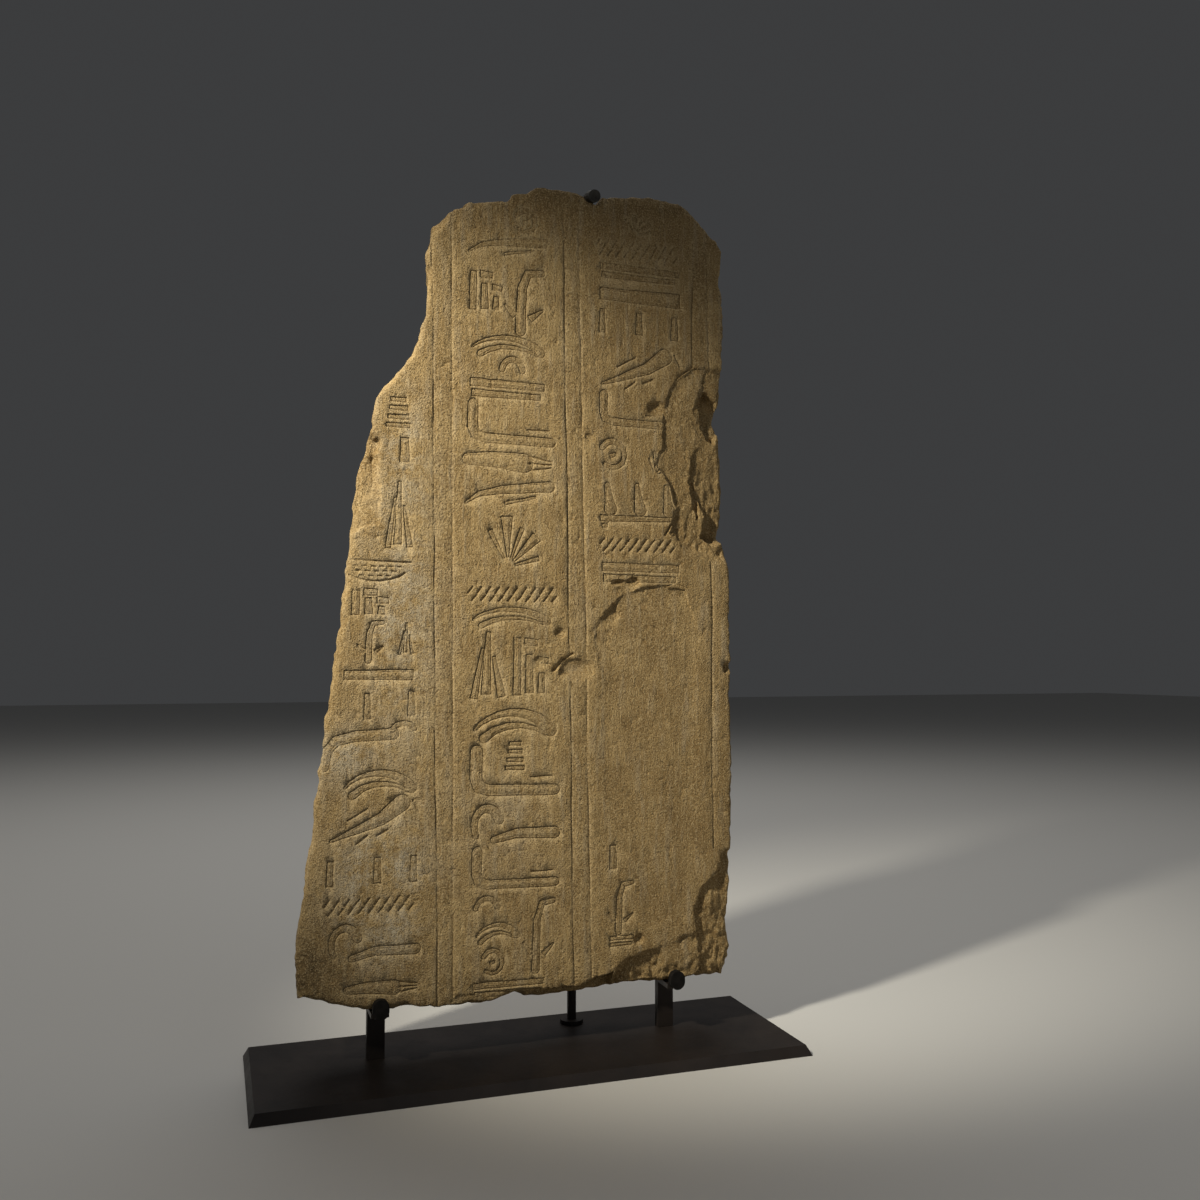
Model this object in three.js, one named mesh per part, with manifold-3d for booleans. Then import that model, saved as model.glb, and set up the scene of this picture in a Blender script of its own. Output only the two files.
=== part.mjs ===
// A broken limestone slab with three columns of sunk carving, upright on a flat steel stand.
// Millimetres, +Z up, +X to the right when facing the carved side, which looks towards -Y.
// The origin is the centre of the base plate's underside.

import * as THREE from 'three';
import { mergeVertices } from 'three/addons/utils/BufferGeometryUtils.js';
import Module from 'manifold-3d';

// Slab
const SLAB_WIDE = 553;
const SLAB_TALL = 1019;
const SLAB_THICK = 80;
const SLAB_SHIFT_X = -6.5;
const EDGE_STEP = 24;
const EDGE_ROUGHNESS = 1.6;
const BACK_BEVEL = 9;

// Carving. THIN is the width of the thinnest strokes.
const STROKE_DEPTH = 1.9;
const LINE_WIDE = 3.2;
const LINE_DEPTH = 2;
const THIN = 2.6;
const SLANT_PITCH = 11;
const PAIR_SINK = 0.7;

// Stand
const PLATE_LONG = 660;
const PLATE_DEEP = 226;
const PLATE_THICK = 12;
const PLATE_BEVEL = 6;
const LIFT = 58;
const POST_WIDE = 21;
const POST_THICK = 10;
const ARM_THICK = 6;
const TIP_THICK = 4;
const TIP_WIDE = 12;
const SLEEVE_WIDE = 19;
const SLEEVE_TALL = 23;
const SLEEVE_THICK = 9;
const LEFT_POST_SHARE = 0.181;
const RIGHT_POST_SHARE = 0.85;
const POST_FROM_FRONT = 38;
const ROD_RADIUS = 6;
const CLIP_RADIUS = 8;
const CLIP_LONG = 26;
const ROD_BEND = 16;
const ROD_FOOT_RADIUS = 15;
const ROD_FOOT_THICK = 5;
// How far in from the carved face the bar starts to bend down, and how far it drops and stands out.
const ROD_DIP_FROM_FRONT = 14.4;
const ROD_DROP = 5;
const ROD_OVERHANG = 2;
const GAP = 0.3;

// Places worked out from the sizes above
const SLAB_LEFT = SLAB_SHIFT_X - SLAB_WIDE / 2;
const SLAB_FOOT = PLATE_THICK + LIFT;
const SLAB_FRONT = -SLAB_THICK / 4;
const SLAB_BACK = SLAB_FRONT + SLAB_THICK;

// Shares of the slab, in hundredths: across by its width, up by its height.
// The seats are flat spots of the underside, and the notch is in the top edge.
const SEAT_SHARE = 0.6;
const SEAT_HALF_SHARE = 3.4;
const LEFT_SEAT_SHARE = LEFT_POST_SHARE * 100;
const RIGHT_SEAT_SHARE = RIGHT_POST_SHARE * 100;
const NOTCH_SHARE = 65.2;
const NOTCH_FLOOR_SHARE = 98.05;

const wasm = await Module();
wasm.setup();

// Outline of the broken slab, clockwise from the top left corner.
// Each corner is [hundredths of the width, hundredths of the height].
const TOP_EDGE = [
  [27.9, 92.8], [33.5, 95.7], [38, 96.9], [45.2, 97.4], [50.5, 99], [54.2, 99.5], [60.8, 99.4],
  [63, 98.9], [NOTCH_SHARE - 1, NOTCH_FLOOR_SHARE + 0.15], [NOTCH_SHARE + 1, NOTCH_FLOOR_SHARE], [67.3, 99.1],
  [79.1, 100], [86.6, 99.7], [91.6, 97.9], [96.9, 95.2], [98.2, 93.9],
];
const RIGHT_EDGE = [
  [97.6, 90.2], [98.4, 85.7], [98.2, 78.2], [96.9, 71.1], [98.4, 64.6], [99.1, 59.1],
  [98.3, 56.4], [99.4, 54.8], [99.9, 52], [100, 17], [99, 6.6], [99.7, 4.6], [99.6, 3],
];
const FOOT_EDGE = [
  [97.6, 0.8], [95, SEAT_SHARE],
  [RIGHT_SEAT_SHARE + SEAT_HALF_SHARE, SEAT_SHARE], [RIGHT_SEAT_SHARE - SEAT_HALF_SHARE, SEAT_SHARE],
  [60, 0.1], [49.8, 0.4], [47.6, 0.9], [41.8, 0.1], [35.6, 0],
  [LEFT_SEAT_SHARE + SEAT_HALF_SHARE, SEAT_SHARE], [LEFT_SEAT_SHARE - SEAT_HALF_SHARE, SEAT_SHARE], [8, 1.6],
];
const LEFT_EDGE = [
  [1.4, 2.7], [0.1, 7.3], [3.6, 21.3], [5, 30.3], [8.6, 44.5], [12, 61.7], [14.8, 66.9],
  [15.4, 71.5], [23.3, 76.8], [26.6, 81.7], [26.8, 84.8], [26.1, 89.1],
];

// How far the front edge is broken back on each side, in hundredths of the slab's width,
// and how deep that break runs, in hundredths of its thickness.
const TOP_BREAK = [1.3, 17.5];
const RIGHT_BREAK = [0.65, 11];
const FOOT_BREAK = [1.1, 20];
const LEFT_BREAK = [0.55, 14];
const NOTCH_BREAK = [0.3, 6];
// How far the sides wander inwards towards the back, in hundredths of the slab's width.
const SIDE_WANDER = 0.18;

function slabX(hundredths) {
  return SLAB_LEFT + SLAB_WIDE * hundredths / 100;
}

function slabZ(hundredths) {
  return SLAB_FOOT + SLAB_TALL * hundredths / 100;
}

function ofWidth(hundredths) {
  return SLAB_WIDE * hundredths / 100;
}

function ofThickness(hundredths) {
  return SLAB_THICK * hundredths / 100;
}

// A smooth value from -1 to 1 that stays the same at the same place.
function wander(place, seed) {
  return 0.6 * Math.sin(place * 1.7 + seed * 2.3) + 0.4 * Math.sin(place * 4.1 + seed * 5.7);
}

function solid(geometry) {
  const bare = geometry.clone();
  for (const name of Object.keys(bare.attributes)) {
    if (name !== 'position') bare.deleteAttribute(name);
  }
  const merged = mergeVertices(bare, 1e-4);
  const vertProperties = new Float32Array(merged.attributes.position.array);
  const triVerts = new Uint32Array(merged.index.array);
  return new wasm.Manifold(new wasm.Mesh({ numProp: 3, vertProperties, triVerts }));
}

function geometryOf(manifold) {
  const mesh = manifold.getMesh();
  const geometry = new THREE.BufferGeometry();
  geometry.setAttribute('position', new THREE.BufferAttribute(new Float32Array(mesh.vertProperties), 3));
  geometry.setIndex(new THREE.BufferAttribute(new Uint32Array(mesh.triVerts), 1));
  geometry.computeVertexNormals();
  return geometry;
}

// The outline as points about EDGE_STEP apart, each with the break of its side.
function outlinePoints() {
  const notchHalf = 3;
  const sides = [
    [TOP_EDGE, TOP_BREAK], [RIGHT_EDGE, RIGHT_BREAK], [FOOT_EDGE, FOOT_BREAK], [LEFT_EDGE, LEFT_BREAK],
  ];
  const corners = [];
  for (const [edge, broken] of sides) {
    for (const [across, up] of edge) {
      const inNotch = edge === TOP_EDGE && Math.abs(across - NOTCH_SHARE) < notchHalf;
      const at = new THREE.Vector2(slabX(across), slabZ(up));
      corners.push({ at, broken: inNotch ? NOTCH_BREAK : broken });
    }
  }
  const points = [];
  corners.forEach((corner, index) => {
    const next = corners[(index + 1) % corners.length];
    const length = corner.at.distanceTo(next.at);
    const steps = Math.max(1, Math.round(length / EDGE_STEP));
    const along = next.at.clone().sub(corner.at).normalize();
    const isSeat = corner.at.y === slabZ(SEAT_SHARE) && next.at.y === slabZ(SEAT_SHARE);
    for (let step = 0; step < steps; step += 1) {
      const at = corner.at.clone().lerp(next.at, step / steps);
      if (step > 0 && !isSeat) {
        const inward = EDGE_ROUGHNESS * (0.5 + 0.5 * wander(points.length, 1));
        at.add(new THREE.Vector2(along.y, -along.x).multiplyScalar(inward));
      }
      points.push({ at, broken: corner.broken });
    }
  });
  return points;
}

// One ring of the slab's side: the outline moved inwards at one depth.
function ring(points, insetOf, depthOf) {
  return points.map((point, index) => {
    const before = points[(index + points.length - 1) % points.length].at;
    const after = points[(index + 1) % points.length].at;
    const along = after.clone().sub(before).normalize();
    const inset = insetOf(point, index);
    const x = point.at.x + along.y * inset;
    const z = point.at.y - along.x * inset;
    return new THREE.Vector3(x, depthOf(point, index), z);
  });
}

function roughSlab() {
  const points = outlinePoints();
  const unevenness = (index) => 1 + 0.35 * wander(index, 3);
  const breakInset = (point, index) => ofWidth(point.broken[0]) * unevenness(index);
  const breakFloor = (point, index) => SLAB_FRONT + ofThickness(point.broken[1]) * unevenness(index + 7);
  const sideInset = (point, index) => ofWidth(SIDE_WANDER) * (1 + wander(index, 5));
  const rings = [
    ring(points, breakInset, () => SLAB_FRONT),
    ring(points, () => 0, breakFloor),
    ring(points, sideInset, () => SLAB_BACK - BACK_BEVEL),
    ring(points, () => BACK_BEVEL / 2, () => SLAB_BACK),
  ];
  const count = points.length;
  const positions = rings.flat().flatMap((vertex) => [vertex.x, vertex.y, vertex.z]);
  const faces = [];
  for (let level = 0; level < rings.length - 1; level += 1) {
    for (let index = 0; index < count; index += 1) {
      const next = (index + 1) % count;
      const a = level * count + index;
      const b = level * count + next;
      faces.push(a, b, b + count, a, b + count, a + count);
    }
  }
  const flat = (ringPoints) => ringPoints.map((vertex) => new THREE.Vector2(vertex.x, vertex.z));
  for (const [a, b, c] of THREE.ShapeUtils.triangulateShape(flat(rings[0]), [])) {
    faces.push(a, b, c);
  }
  const last = (rings.length - 1) * count;
  for (const [a, b, c] of THREE.ShapeUtils.triangulateShape(flat(rings[rings.length - 1]), [])) {
    faces.push(last + a, last + c, last + b);
  }
  const geometry = new THREE.BufferGeometry();
  geometry.setAttribute('position', new THREE.Float32BufferAttribute(positions, 3));
  geometry.setIndex(faces);
  return solid(geometry);
}

// A prism that cuts into the carved face: its outline in X and Z, its floor at a depth that may slope.
function facePrism(outline, depthAt) {
  const above = STROKE_DEPTH;
  const shape = new THREE.Shape(outline.map(([x, z]) => new THREE.Vector2(x, z)));
  const geometry = new THREE.ExtrudeGeometry(shape, { depth: 1, bevelEnabled: false });
  const position = geometry.attributes.position;
  for (let index = 0; index < position.count; index += 1) {
    const x = position.getX(index);
    const z = position.getY(index);
    const isFloor = position.getZ(index) < 0.5;
    position.setXYZ(index, x, isFloor ? SLAB_FRONT + depthAt(x, z) : SLAB_FRONT - above, z);
  }
  return solid(geometry);
}

// A straight V-shaped groove from one point to another.
function groove(from, to, wide, depth) {
  const above = depth / 4;
  const reach = wide / 2 * (1 + above / depth);
  const along = new THREE.Vector2(to[0] - from[0], to[1] - from[1]);
  const length = along.length();
  const section = new THREE.Shape([
    new THREE.Vector2(-reach, above), new THREE.Vector2(0, -depth), new THREE.Vector2(reach, above),
  ]);
  const geometry = new THREE.ExtrudeGeometry(section, { depth: length, bevelEnabled: false });
  const forward = new THREE.Vector3(along.x / length, 0, along.y / length);
  const outward = new THREE.Vector3(0, -1, 0);
  const side = new THREE.Vector3().crossVectors(outward, forward);
  const place = new THREE.Matrix4().makeBasis(side, outward, forward);
  place.setPosition(from[0], SLAB_FRONT, from[1]);
  geometry.applyMatrix4(place);
  return solid(geometry);
}

// A sunk band along a centre line, from one thickness to another.
function band(line, startWide, endWide) {
  const left = [];
  const right = [];
  line.forEach(([x, z], index) => {
    const before = line[Math.max(0, index - 1)];
    const after = line[Math.min(line.length - 1, index + 1)];
    const along = new THREE.Vector2(after[0] - before[0], after[1] - before[1]).normalize();
    const half = (startWide + (endWide - startWide) * index / (line.length - 1)) / 2;
    left.push([x - along.y * half, z + along.x * half]);
    right.push([x + along.y * half, z - along.x * half]);
  });
  return facePrism([...right, ...left.reverse()], () => STROKE_DEPTH);
}

// Points along an arc inside a box, angles in degrees from the box's right side.
function arc(centreX, centreZ, radiusX, radiusZ, from, to, steps = 7) {
  const line = [];
  for (let step = 0; step <= steps; step += 1) {
    const angle = THREE.MathUtils.degToRad(from + (to - from) * step / steps);
    line.push([centreX + radiusX * Math.cos(angle), centreZ + radiusZ * Math.sin(angle)]);
  }
  return line;
}

// Groups of shallow strokes, each drawn in a box of width w and height h.
// A group returns its bands as [centre line, first thickness, last thickness].

function bar(w, h) {
  return [[[[0, h / 2], [w, h / 2]], h * 0.8, h]];
}

function bars(w, h) {
  return [
    [[[0, h * 0.77], [w, h * 0.73]], h * 0.44, h * 0.4],
    [[[w * 0.02, h * 0.22], [w * 0.95, h * 0.2]], h * 0.4, h * 0.32],
  ];
}

function upright(w, h) {
  return [[[[w / 2, h], [w / 2, 0]], w * 0.8, w]];
}

function slants(w, h) {
  const count = Math.max(3, Math.round(w / SLANT_PITCH));
  const pitch = w / count;
  const strokes = [];
  for (let n = 0; n < count; n += 1) {
    const x = n * pitch;
    strokes.push([[[x, h * 0.5], [x + pitch * 0.62, h]], THIN, THIN]);
    strokes.push([[[x + pitch * 0.4, 0], [x + pitch, h * 0.44]], THIN, THIN]);
  }
  return strokes;
}

function arch(w, h) {
  return [[arc(w / 2, 0, w * 0.42, h * 0.8, 170, 10), h * 0.44, h * 0.44]];
}

function swell(w, h) {
  return [
    [arc(w / 2, -h * 0.3, w * 0.5, h * 1.16, 152, 24), h * 0.16, h * 0.5],
    [arc(w * 0.55, -h * 0.6, w * 0.46, h * 0.98, 148, 40, 5), h * 0.4, h * 0.16],
  ];
}

function crook(w, h) {
  const bend = [
    [h * 0.14, h], [h * 0.13, h * 0.44], [h * 0.2, h * 0.24], [h * 0.42, h * 0.16], [w, h * 0.13],
  ];
  return [
    [bend, h * 0.3, h * 0.26],
    [[[w * 0.7, h * 0.42], [w * 0.98, h * 0.44]], THIN, THIN],
  ];
}

function fork(w, h) {
  const strokes = [[[[0, h * 0.56], [w * 0.3, h * 0.6], [w * 0.66, h * 0.5]], h * 0.5, h * 0.84]];
  for (const up of [0.2, 0.5, 0.8]) {
    strokes.push([[[w * 0.72, h * up], [w, h * (0.3 + up * 0.4)]], THIN, THIN]);
  }
  return strokes;
}

function comb(w, h) {
  const strokes = [
    [[[0, h * 0.92], [w, h * 0.86]], THIN * 1.2, THIN],
    [arc(w * 0.42, h * 0.62, w * 0.5, h * 0.56, 215, 338, 6), THIN, THIN * 1.3],
  ];
  for (const row of [0, 1, 2]) {
    const up = h * (0.68 - 0.2 * row);
    strokes.push([[[w * (0.06 + 0.05 * row), up], [w * (0.9 - 0.1 * row), up]], THIN * 0.8, THIN * 0.8]);
  }
  return strokes;
}

function steps(w, h) {
  return [
    [[[w * 0.08, h * 0.04], [w * 0.1, h * 0.94]], w * 0.24, w * 0.22],
    [[[w * 0.28, h * 0.88], [w * 0.68, h * 0.86]], w * 0.22, w * 0.2],
    [[[w * 0.42, h * 0.68], [w * 0.44, h * 0.08]], w * 0.2, w * 0.26],
    [[[w * 0.64, h * 0.6], [w * 0.98, h * 0.58]], w * 0.2, w * 0.18],
    [[[w * 0.76, h * 0.08], [w * 0.78, h * 0.4]], w * 0.22, w * 0.18],
  ];
}

function stalk(w, h) {
  return [
    [[[w * 0.42, 0], [w * 0.46, h * 0.68], [w * 0.6, h * 0.92], [w * 0.95, h * 0.95]], w * 0.28, w * 0.18],
    [[[w * 0.3, h * 0.22], [w * 0.02, h * 0.4]], w * 0.2, w * 0.08],
    [[[w * 0.64, h * 0.2], [w * 0.98, h * 0.36]], w * 0.2, w * 0.08],
  ];
}

function sheaf(w, h) {
  return [
    [[[w * 0.1, 0], [w * 0.36, h * 0.76]], w * 0.26, w * 0.12],
    [[[w * 0.46, h * 0.06], [w * 0.52, h]], w * 0.34, w * 0.16],
    [[[w * 0.92, h * 0.02], [w * 0.68, h * 0.64]], w * 0.28, w * 0.12],
  ];
}

function rungs(w, h) {
  return [0.1, 0.36, 0.64, 0.9].map((up, n) => {
    const inset = w * 0.06 * n;
    return [[[inset, h * up], [w - inset, h * up]], h * 0.15, h * 0.18];
  });
}

function rise(w, h) {
  return [
    [[[0, 0], [w * 0.16, h * 0.4], [w * 0.42, h * 0.62], [w, h * 0.84]], h * 0.14, h * 0.52],
    [[[w * 0.46, h * 0.04], [w * 0.84, h * 0.36]], h * 0.2, h * 0.14],
  ];
}

function fan(w, h) {
  return [12, 38, 64, 92, 124].map((lean, n) => {
    const angle = THREE.MathUtils.degToRad(lean);
    const reach = 0.62 + 0.1 * (n % 2);
    const near = [w * (0.42 + 0.1 * Math.cos(angle)), h * (0.16 + 0.14 * Math.sin(angle))];
    const far = [w * (0.42 + reach * 0.8 * Math.cos(angle)), h * (0.16 + reach * 1.1 * Math.sin(angle))];
    return [[near, far], w * 0.05, w * (n % 2 ? 0.19 : 0.09)];
  });
}

function sweep(w, h) {
  const body = [[0, 0], [w * 0.03, h * 0.4], [w * 0.12, h * 0.6], [w * 0.32, h * 0.7], [w * 0.74, h * 0.74]];
  return [
    [body, h * 0.2, h * 0.3],
    [arc(w * 0.86, h * 0.78, w * 0.13, h * 0.2, 200, 20, 5), h * 0.16, h * 0.14],
  ];
}

function plume(w, h) {
  return [
    [[[w * 0.03, h * 0.1], [w * 0.3, h * 0.3], [w * 0.58, h * 0.52], [w * 0.8, h * 0.84]], h * 0.08, h * 0.4],
    [[[w * 0.2, h * 0.5], [w * 0.44, h * 0.76]], THIN, THIN],
    [[[w * 0.52, h * 0.16], [w * 0.66, h * 0.3]], THIN * 1.4, THIN],
    [[[w * 0.3, 0], [w * 0.44, h * 0.2]], THIN, THIN],
    [[[w * 0.92, h * 0.92], [w, h * 0.62]], THIN * 1.3, THIN],
  ];
}

function crest(w, h) {
  return [
    [arc(w * 0.2, h * 0.44, w * 0.15, h * 0.42, 215, 20), h * 0.16, h * 0.26],
    [[[w * 0.28, h * 0.1], [w * 0.54, h * 0.24], [w, h * 0.22]], h * 0.2, h * 0.3],
  ];
}

function curl(w, h) {
  return [
    [arc(w / 2, h / 2, w * 0.4, h * 0.4, 150, -130, 9), w * 0.24, w * 0.18],
    [[[w * 0.38, h * 0.44], [w * 0.62, h * 0.52]], w * 0.18, w * 0.14],
  ];
}

function pods(w, h) {
  const strokes = [0.12, 0.5, 0.88].map((at) => {
    const pod = [[w * (at - 0.02), h * 0.98], [w * at, h * 0.62], [w * (at + 0.02), h * 0.44]];
    return [pod, w * 0.07, w * 0.17];
  });
  strokes.push([[[0, h * 0.22], [w * 0.96, h * 0.24]], h * 0.16, h * 0.12]);
  strokes.push([[[w * 0.06, h * 0.12], [w * 0.07, 0]], h * 0.16, h * 0.14]);
  return strokes;
}

// The strokes of each column from the top down.
// Each row is [group, left, right, bottom, top], in hundredths of the slab's width and height.
const LEFT_COLUMN = [
  [rungs, 18, 23.4, 67.8, 71.6], [upright, 21, 23.4, 63.8, 66.8], [sheaf, 18.2, 24, 53.6, 61.6],
  [comb, 10.6, 24, 49.6, 52.4], [steps, 11.4, 19.4, 45.6, 48.9], [stalk, 12.4, 18.2, 40.6, 45.2],
  [sheaf, 21.2, 24.6, 41.2, 45], [bar, 9.8, 24.6, 38.2, 39.6], [upright, 13.9, 15.6, 33.8, 36.8],
  [upright, 23.2, 25, 34.1, 37.1], [sweep, 6.2, 25.2, 28.4, 33.4], [swell, 9.4, 25, 25.4, 28],
  [plume, 7, 26, 19.6, 25], [upright, 6.6, 8.4, 15, 17.9], [upright, 16.3, 18.2, 15.1, 18.1],
  [upright, 24, 25.8, 15, 18.1], [slants, 6.2, 25, 11.8, 13.6], [crest, 7, 25.4, 6.4, 11],
  [fork, 11.4, 26, 2.2, 4.3],
];
const CENTRE_COLUMN = [
  [curl, 46, 52, 92.8, 96.2], [rise, 36, 53.4, 90, 92.4], [steps, 36.4, 44, 82.6, 88],
  [stalk, 44, 53.4, 80.8, 88.6], [swell, 36, 53.6, 77.8, 80.1], [arch, 43.2, 49, 75.6, 77.6],
  [bars, 36.4, 53.7, 72.2, 74.6], [crook, 36, 55.2, 66.6, 71.4], [fork, 36.1, 55.4, 63, 66],
  [rise, 35.6, 54.8, 59.4, 62.2], [fan, 39, 54, 50.6, 58.4], [slants, 36.2, 56.6, 47.6, 49.4],
  [swell, 36.4, 55.2, 44.9, 47], [sheaf, 37, 44.6, 36, 44], [steps, 46.8, 55, 36, 43.8],
  [swell, 37, 56, 31.6, 34.8], [rungs, 44.8, 49.3, 27.4, 31], [crook, 37, 56.2, 24.3, 29.8],
  [crest, 37, 56.2, 18.8, 23.8], [crook, 37.5, 56.3, 13.4, 18], [arch, 38, 43.8, 11.2, 12.9],
  [stalk, 48.8, 56.3, 3.8, 12.2], [swell, 38, 48, 7.7, 9.7], [curl, 39.4, 45, 3.4, 6.8],
  [bars, 37.8, 53.8, 1, 2.9],
];
const RIGHT_COLUMN = [
  [fan, 72, 80.4, 94.2, 97.4], [slants, 65.8, 86.2, 91.4, 93.6], [bars, 66.8, 86.8, 88.6, 90.6],
  [bar, 66.8, 87, 85.6, 87.6], [upright, 66.6, 68.3, 81.6, 84.7], [upright, 75.6, 77.6, 81.7, 84.6],
  [upright, 84.4, 86.5, 81.4, 84.5], [plume, 66.8, 87, 74.6, 80.1], [crook, 66.8, 82.8, 69.8, 73.8],
  [curl, 66.4, 73.6, 64.2, 68.4], [fan, 78, 84, 63.4, 67.2], [pods, 66.8, 86, 57, 62.6],
  [slants, 66.8, 85.4, 54.1, 55.8], [bars, 67.3, 86.6, 50.2, 52.8], [upright, 69, 71, 15, 18],
  [stalk, 68.6, 75, 7.4, 13.6], [bars, 69, 75, 5.6, 7],
];

// Ruled lines: [top x, top z, foot x, foot z], in hundredths of the slab's width and height.
const RULED_LINES = [
  [27.8, 90.6, 30.2, 0.6], [32, 94, 33.6, -0.5], [57.9, 95.2, 61, -0.5], [61.7, 94.6, 64.9, -0.5],
  [90.1, 94.8, 90, 76.6], [93.6, 95, 94.4, 78.4], [94.7, 53.4, 94.8, 16.8],
];
// The narrow panels between the ruled lines of a pair, as two of the lines above.
const RULED_PAIRS = [[0, 1], [2, 3], [4, 5]];

// Breaks in the carved face. Each has corners in hundredths of the slab's width and height, and depths
// in hundredths of its thickness, where the floor slopes from one of the corners to another.
const WORN_AREAS = [
  {
    corners: [
      [65.4, 43.4], [69.6, 46.6], [72.4, 48.9], [77, 49.6], [83, 50], [88.4, 49.6], [91.6, 44], [92, 8],
      [76.6, 7], [74, 19], [67.4, 22], [65.8, 30], [67, 40],
    ],
    from: 1, to: 7, depths: [2.1, 1.2],
  },
  {
    corners: [[63.8, 44.2], [70.1, 47.5], [72.3, 46.4], [70, 44], [66.4, 41.4]],
    from: 1, to: 3, depths: [6, 1.1],
  },
  { corners: [[69.8, 49.2], [74.8, 50.9], [76.6, 50.4], [73, 48.6]], from: 1, to: 3, depths: [4.2, 0.6] },
  {
    corners: [
      [89.6, 78.1], [85.2, 76.1], [83.4, 73.6], [82.6, 71.6], [82.4, 67.7], [80.2, 65.4], [82.6, 64],
      [85.4, 60], [83.3, 56.8], [88, 54.4], [94.6, 53], [104, 53], [104, 78.6],
    ],
    from: 3, to: 11, depths: [3.2, 9],
  },
  {
    corners: [
      [93.5, 78], [92, 75.4], [89.9, 72.8], [89.9, 70.7], [92.4, 68.6], [89.7, 66.3], [88.4, 63.3],
      [90.7, 61], [92.6, 58], [91.4, 56], [94.8, 54.6], [104, 55], [104, 78.4],
    ],
    from: 4, to: 11, depths: [6, 25],
  },
  {
    corners: [
      [97.6, 16.4], [95.7, 13.4], [91.5, 11.8], [90.2, 9.1], [90.5, 6.5], [91, 4], [86.4, -2],
      [104, -2], [104, 17],
    ],
    from: 3, to: 7, depths: [10, 19],
  },
  {
    corners: [[68, 1.6], [73.5, 4.4], [81.8, 5.2], [87, 6.2], [91.4, 6.4], [91, -2], [66, -2]],
    from: 2, to: 6, depths: [3, 27],
  },
  {
    corners: [[33, 1.6], [47, 1.9], [62, 1.5], [70, 2.6], [70, -2], [33, -2]],
    from: 1, to: 4, depths: [1, 30],
  },
  { corners: [[14, 67.6], [17, 66.4], [17.2, 56.4], [11, 55], [9, 60]], from: 2, to: 4, depths: [1.2, 9] },
];
const SHALLOWEST_BREAK = 0.7;

// Round pits: [across, up, half width, half height, depth]. The depth is in hundredths of the slab's
// thickness, the height in hundredths of its height and the others in hundredths of its width.
const PITS = [
  [60.4, 39.8, 5.2, 3.4, 10], [57.4, 43.9, 1.4, 1.3, 7.5], [52.6, 40.2, 1.8, 2, 4], [81.2, 72.4, 2.7, 2, 7],
  [76.2, 6.3, 1.3, 1.4, 10], [98.8, 39.6, 1.4, 1.4, 9], [64.4, 68.2, 1.3, 1.1, 3], [27.2, 86.4, 0.9, 2.5, 6],
  [93.2, 71.6, 2.2, 4.3, 14], [90.7, 61.3, 0.7, 2, 9], [69, 43.9, 1.4, 1.4, 4],
];

function mapPoint([across, up]) {
  return [slabX(across), slabZ(up)];
}

function wornArea({ corners, from, to, depths }) {
  const outline = corners.map(mapPoint);
  const start = new THREE.Vector2(...outline[from]);
  const along = new THREE.Vector2(...outline[to]).sub(start);
  const length = along.length();
  along.normalize();
  const depthAt = (x, z) => {
    const share = new THREE.Vector2(x, z).sub(start).dot(along) / length;
    return ofThickness(Math.max(SHALLOWEST_BREAK, depths[0] + (depths[1] - depths[0]) * share));
  };
  const clockwise = THREE.ShapeUtils.isClockWise(outline.map(([x, z]) => new THREE.Vector2(x, z)));
  return facePrism(clockwise ? [...outline].reverse() : outline, depthAt);
}

function pit([across, up, halfWide, halfTall, depth]) {
  const geometry = new THREE.SphereGeometry(1, 9, 6);
  geometry.scale(ofWidth(halfWide), ofThickness(depth), ofWidth(halfTall));
  geometry.translate(slabX(across), SLAB_FRONT, slabZ(up));
  return solid(geometry);
}

function carveColumn(body, rows) {
  let carved = body;
  for (const [group, left, right, bottom, top] of rows) {
    const x = slabX(left);
    const z = slabZ(bottom);
    for (const [line, startWide, endWide] of group(slabX(right) - x, slabZ(top) - z)) {
      const moved = line.map(([across, up]) => [x + across, z + up]);
      carved = carved.subtract(band(moved, startWide, endWide));
    }
  }
  return carved;
}

function reliefSlab() {
  let slab = roughSlab();
  for (const [first, second] of RULED_PAIRS) {
    const [ax, az, bx, bz] = RULED_LINES[first];
    const [cx, cz, dx, dz] = RULED_LINES[second];
    const panel = [[ax, az], [bx, bz], [dx, dz], [cx, cz]].map(mapPoint);
    slab = slab.subtract(facePrism(panel, () => PAIR_SINK));
  }
  for (const [topX, topZ, footX, footZ] of RULED_LINES) {
    slab = slab.subtract(groove(mapPoint([topX, topZ]), mapPoint([footX, footZ]), LINE_WIDE, LINE_DEPTH));
  }
  for (const column of [LEFT_COLUMN, CENTRE_COLUMN, RIGHT_COLUMN]) {
    slab = carveColumn(slab, column);
  }
  for (const area of WORN_AREAS) {
    slab = slab.subtract(wornArea(area));
  }
  for (const place of PITS) {
    slab = slab.subtract(pit(place));
  }
  return geometryOf(slab);
}

// The plate has a sloping edge all round its top.
function basePlate() {
  const halfLong = PLATE_LONG / 2 - PLATE_BEVEL;
  const halfDeep = PLATE_DEEP / 2 - PLATE_BEVEL;
  const outline = new THREE.Shape([
    new THREE.Vector2(-halfLong, -halfDeep), new THREE.Vector2(halfLong, -halfDeep),
    new THREE.Vector2(halfLong, halfDeep), new THREE.Vector2(-halfLong, halfDeep),
  ]);
  const geometry = new THREE.ExtrudeGeometry(outline, { depth: PLATE_THICK, bevelEnabled: false });
  const position = geometry.attributes.position;
  for (let index = 0; index < position.count; index += 1) {
    if (position.getZ(index) < PLATE_THICK / 2) {
      const x = position.getX(index);
      const y = position.getY(index);
      position.setXY(index, x + Math.sign(x) * PLATE_BEVEL, y + Math.sign(y) * PLATE_BEVEL);
    }
  }
  geometry.computeVertexNormals();
  return geometry;
}

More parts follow.
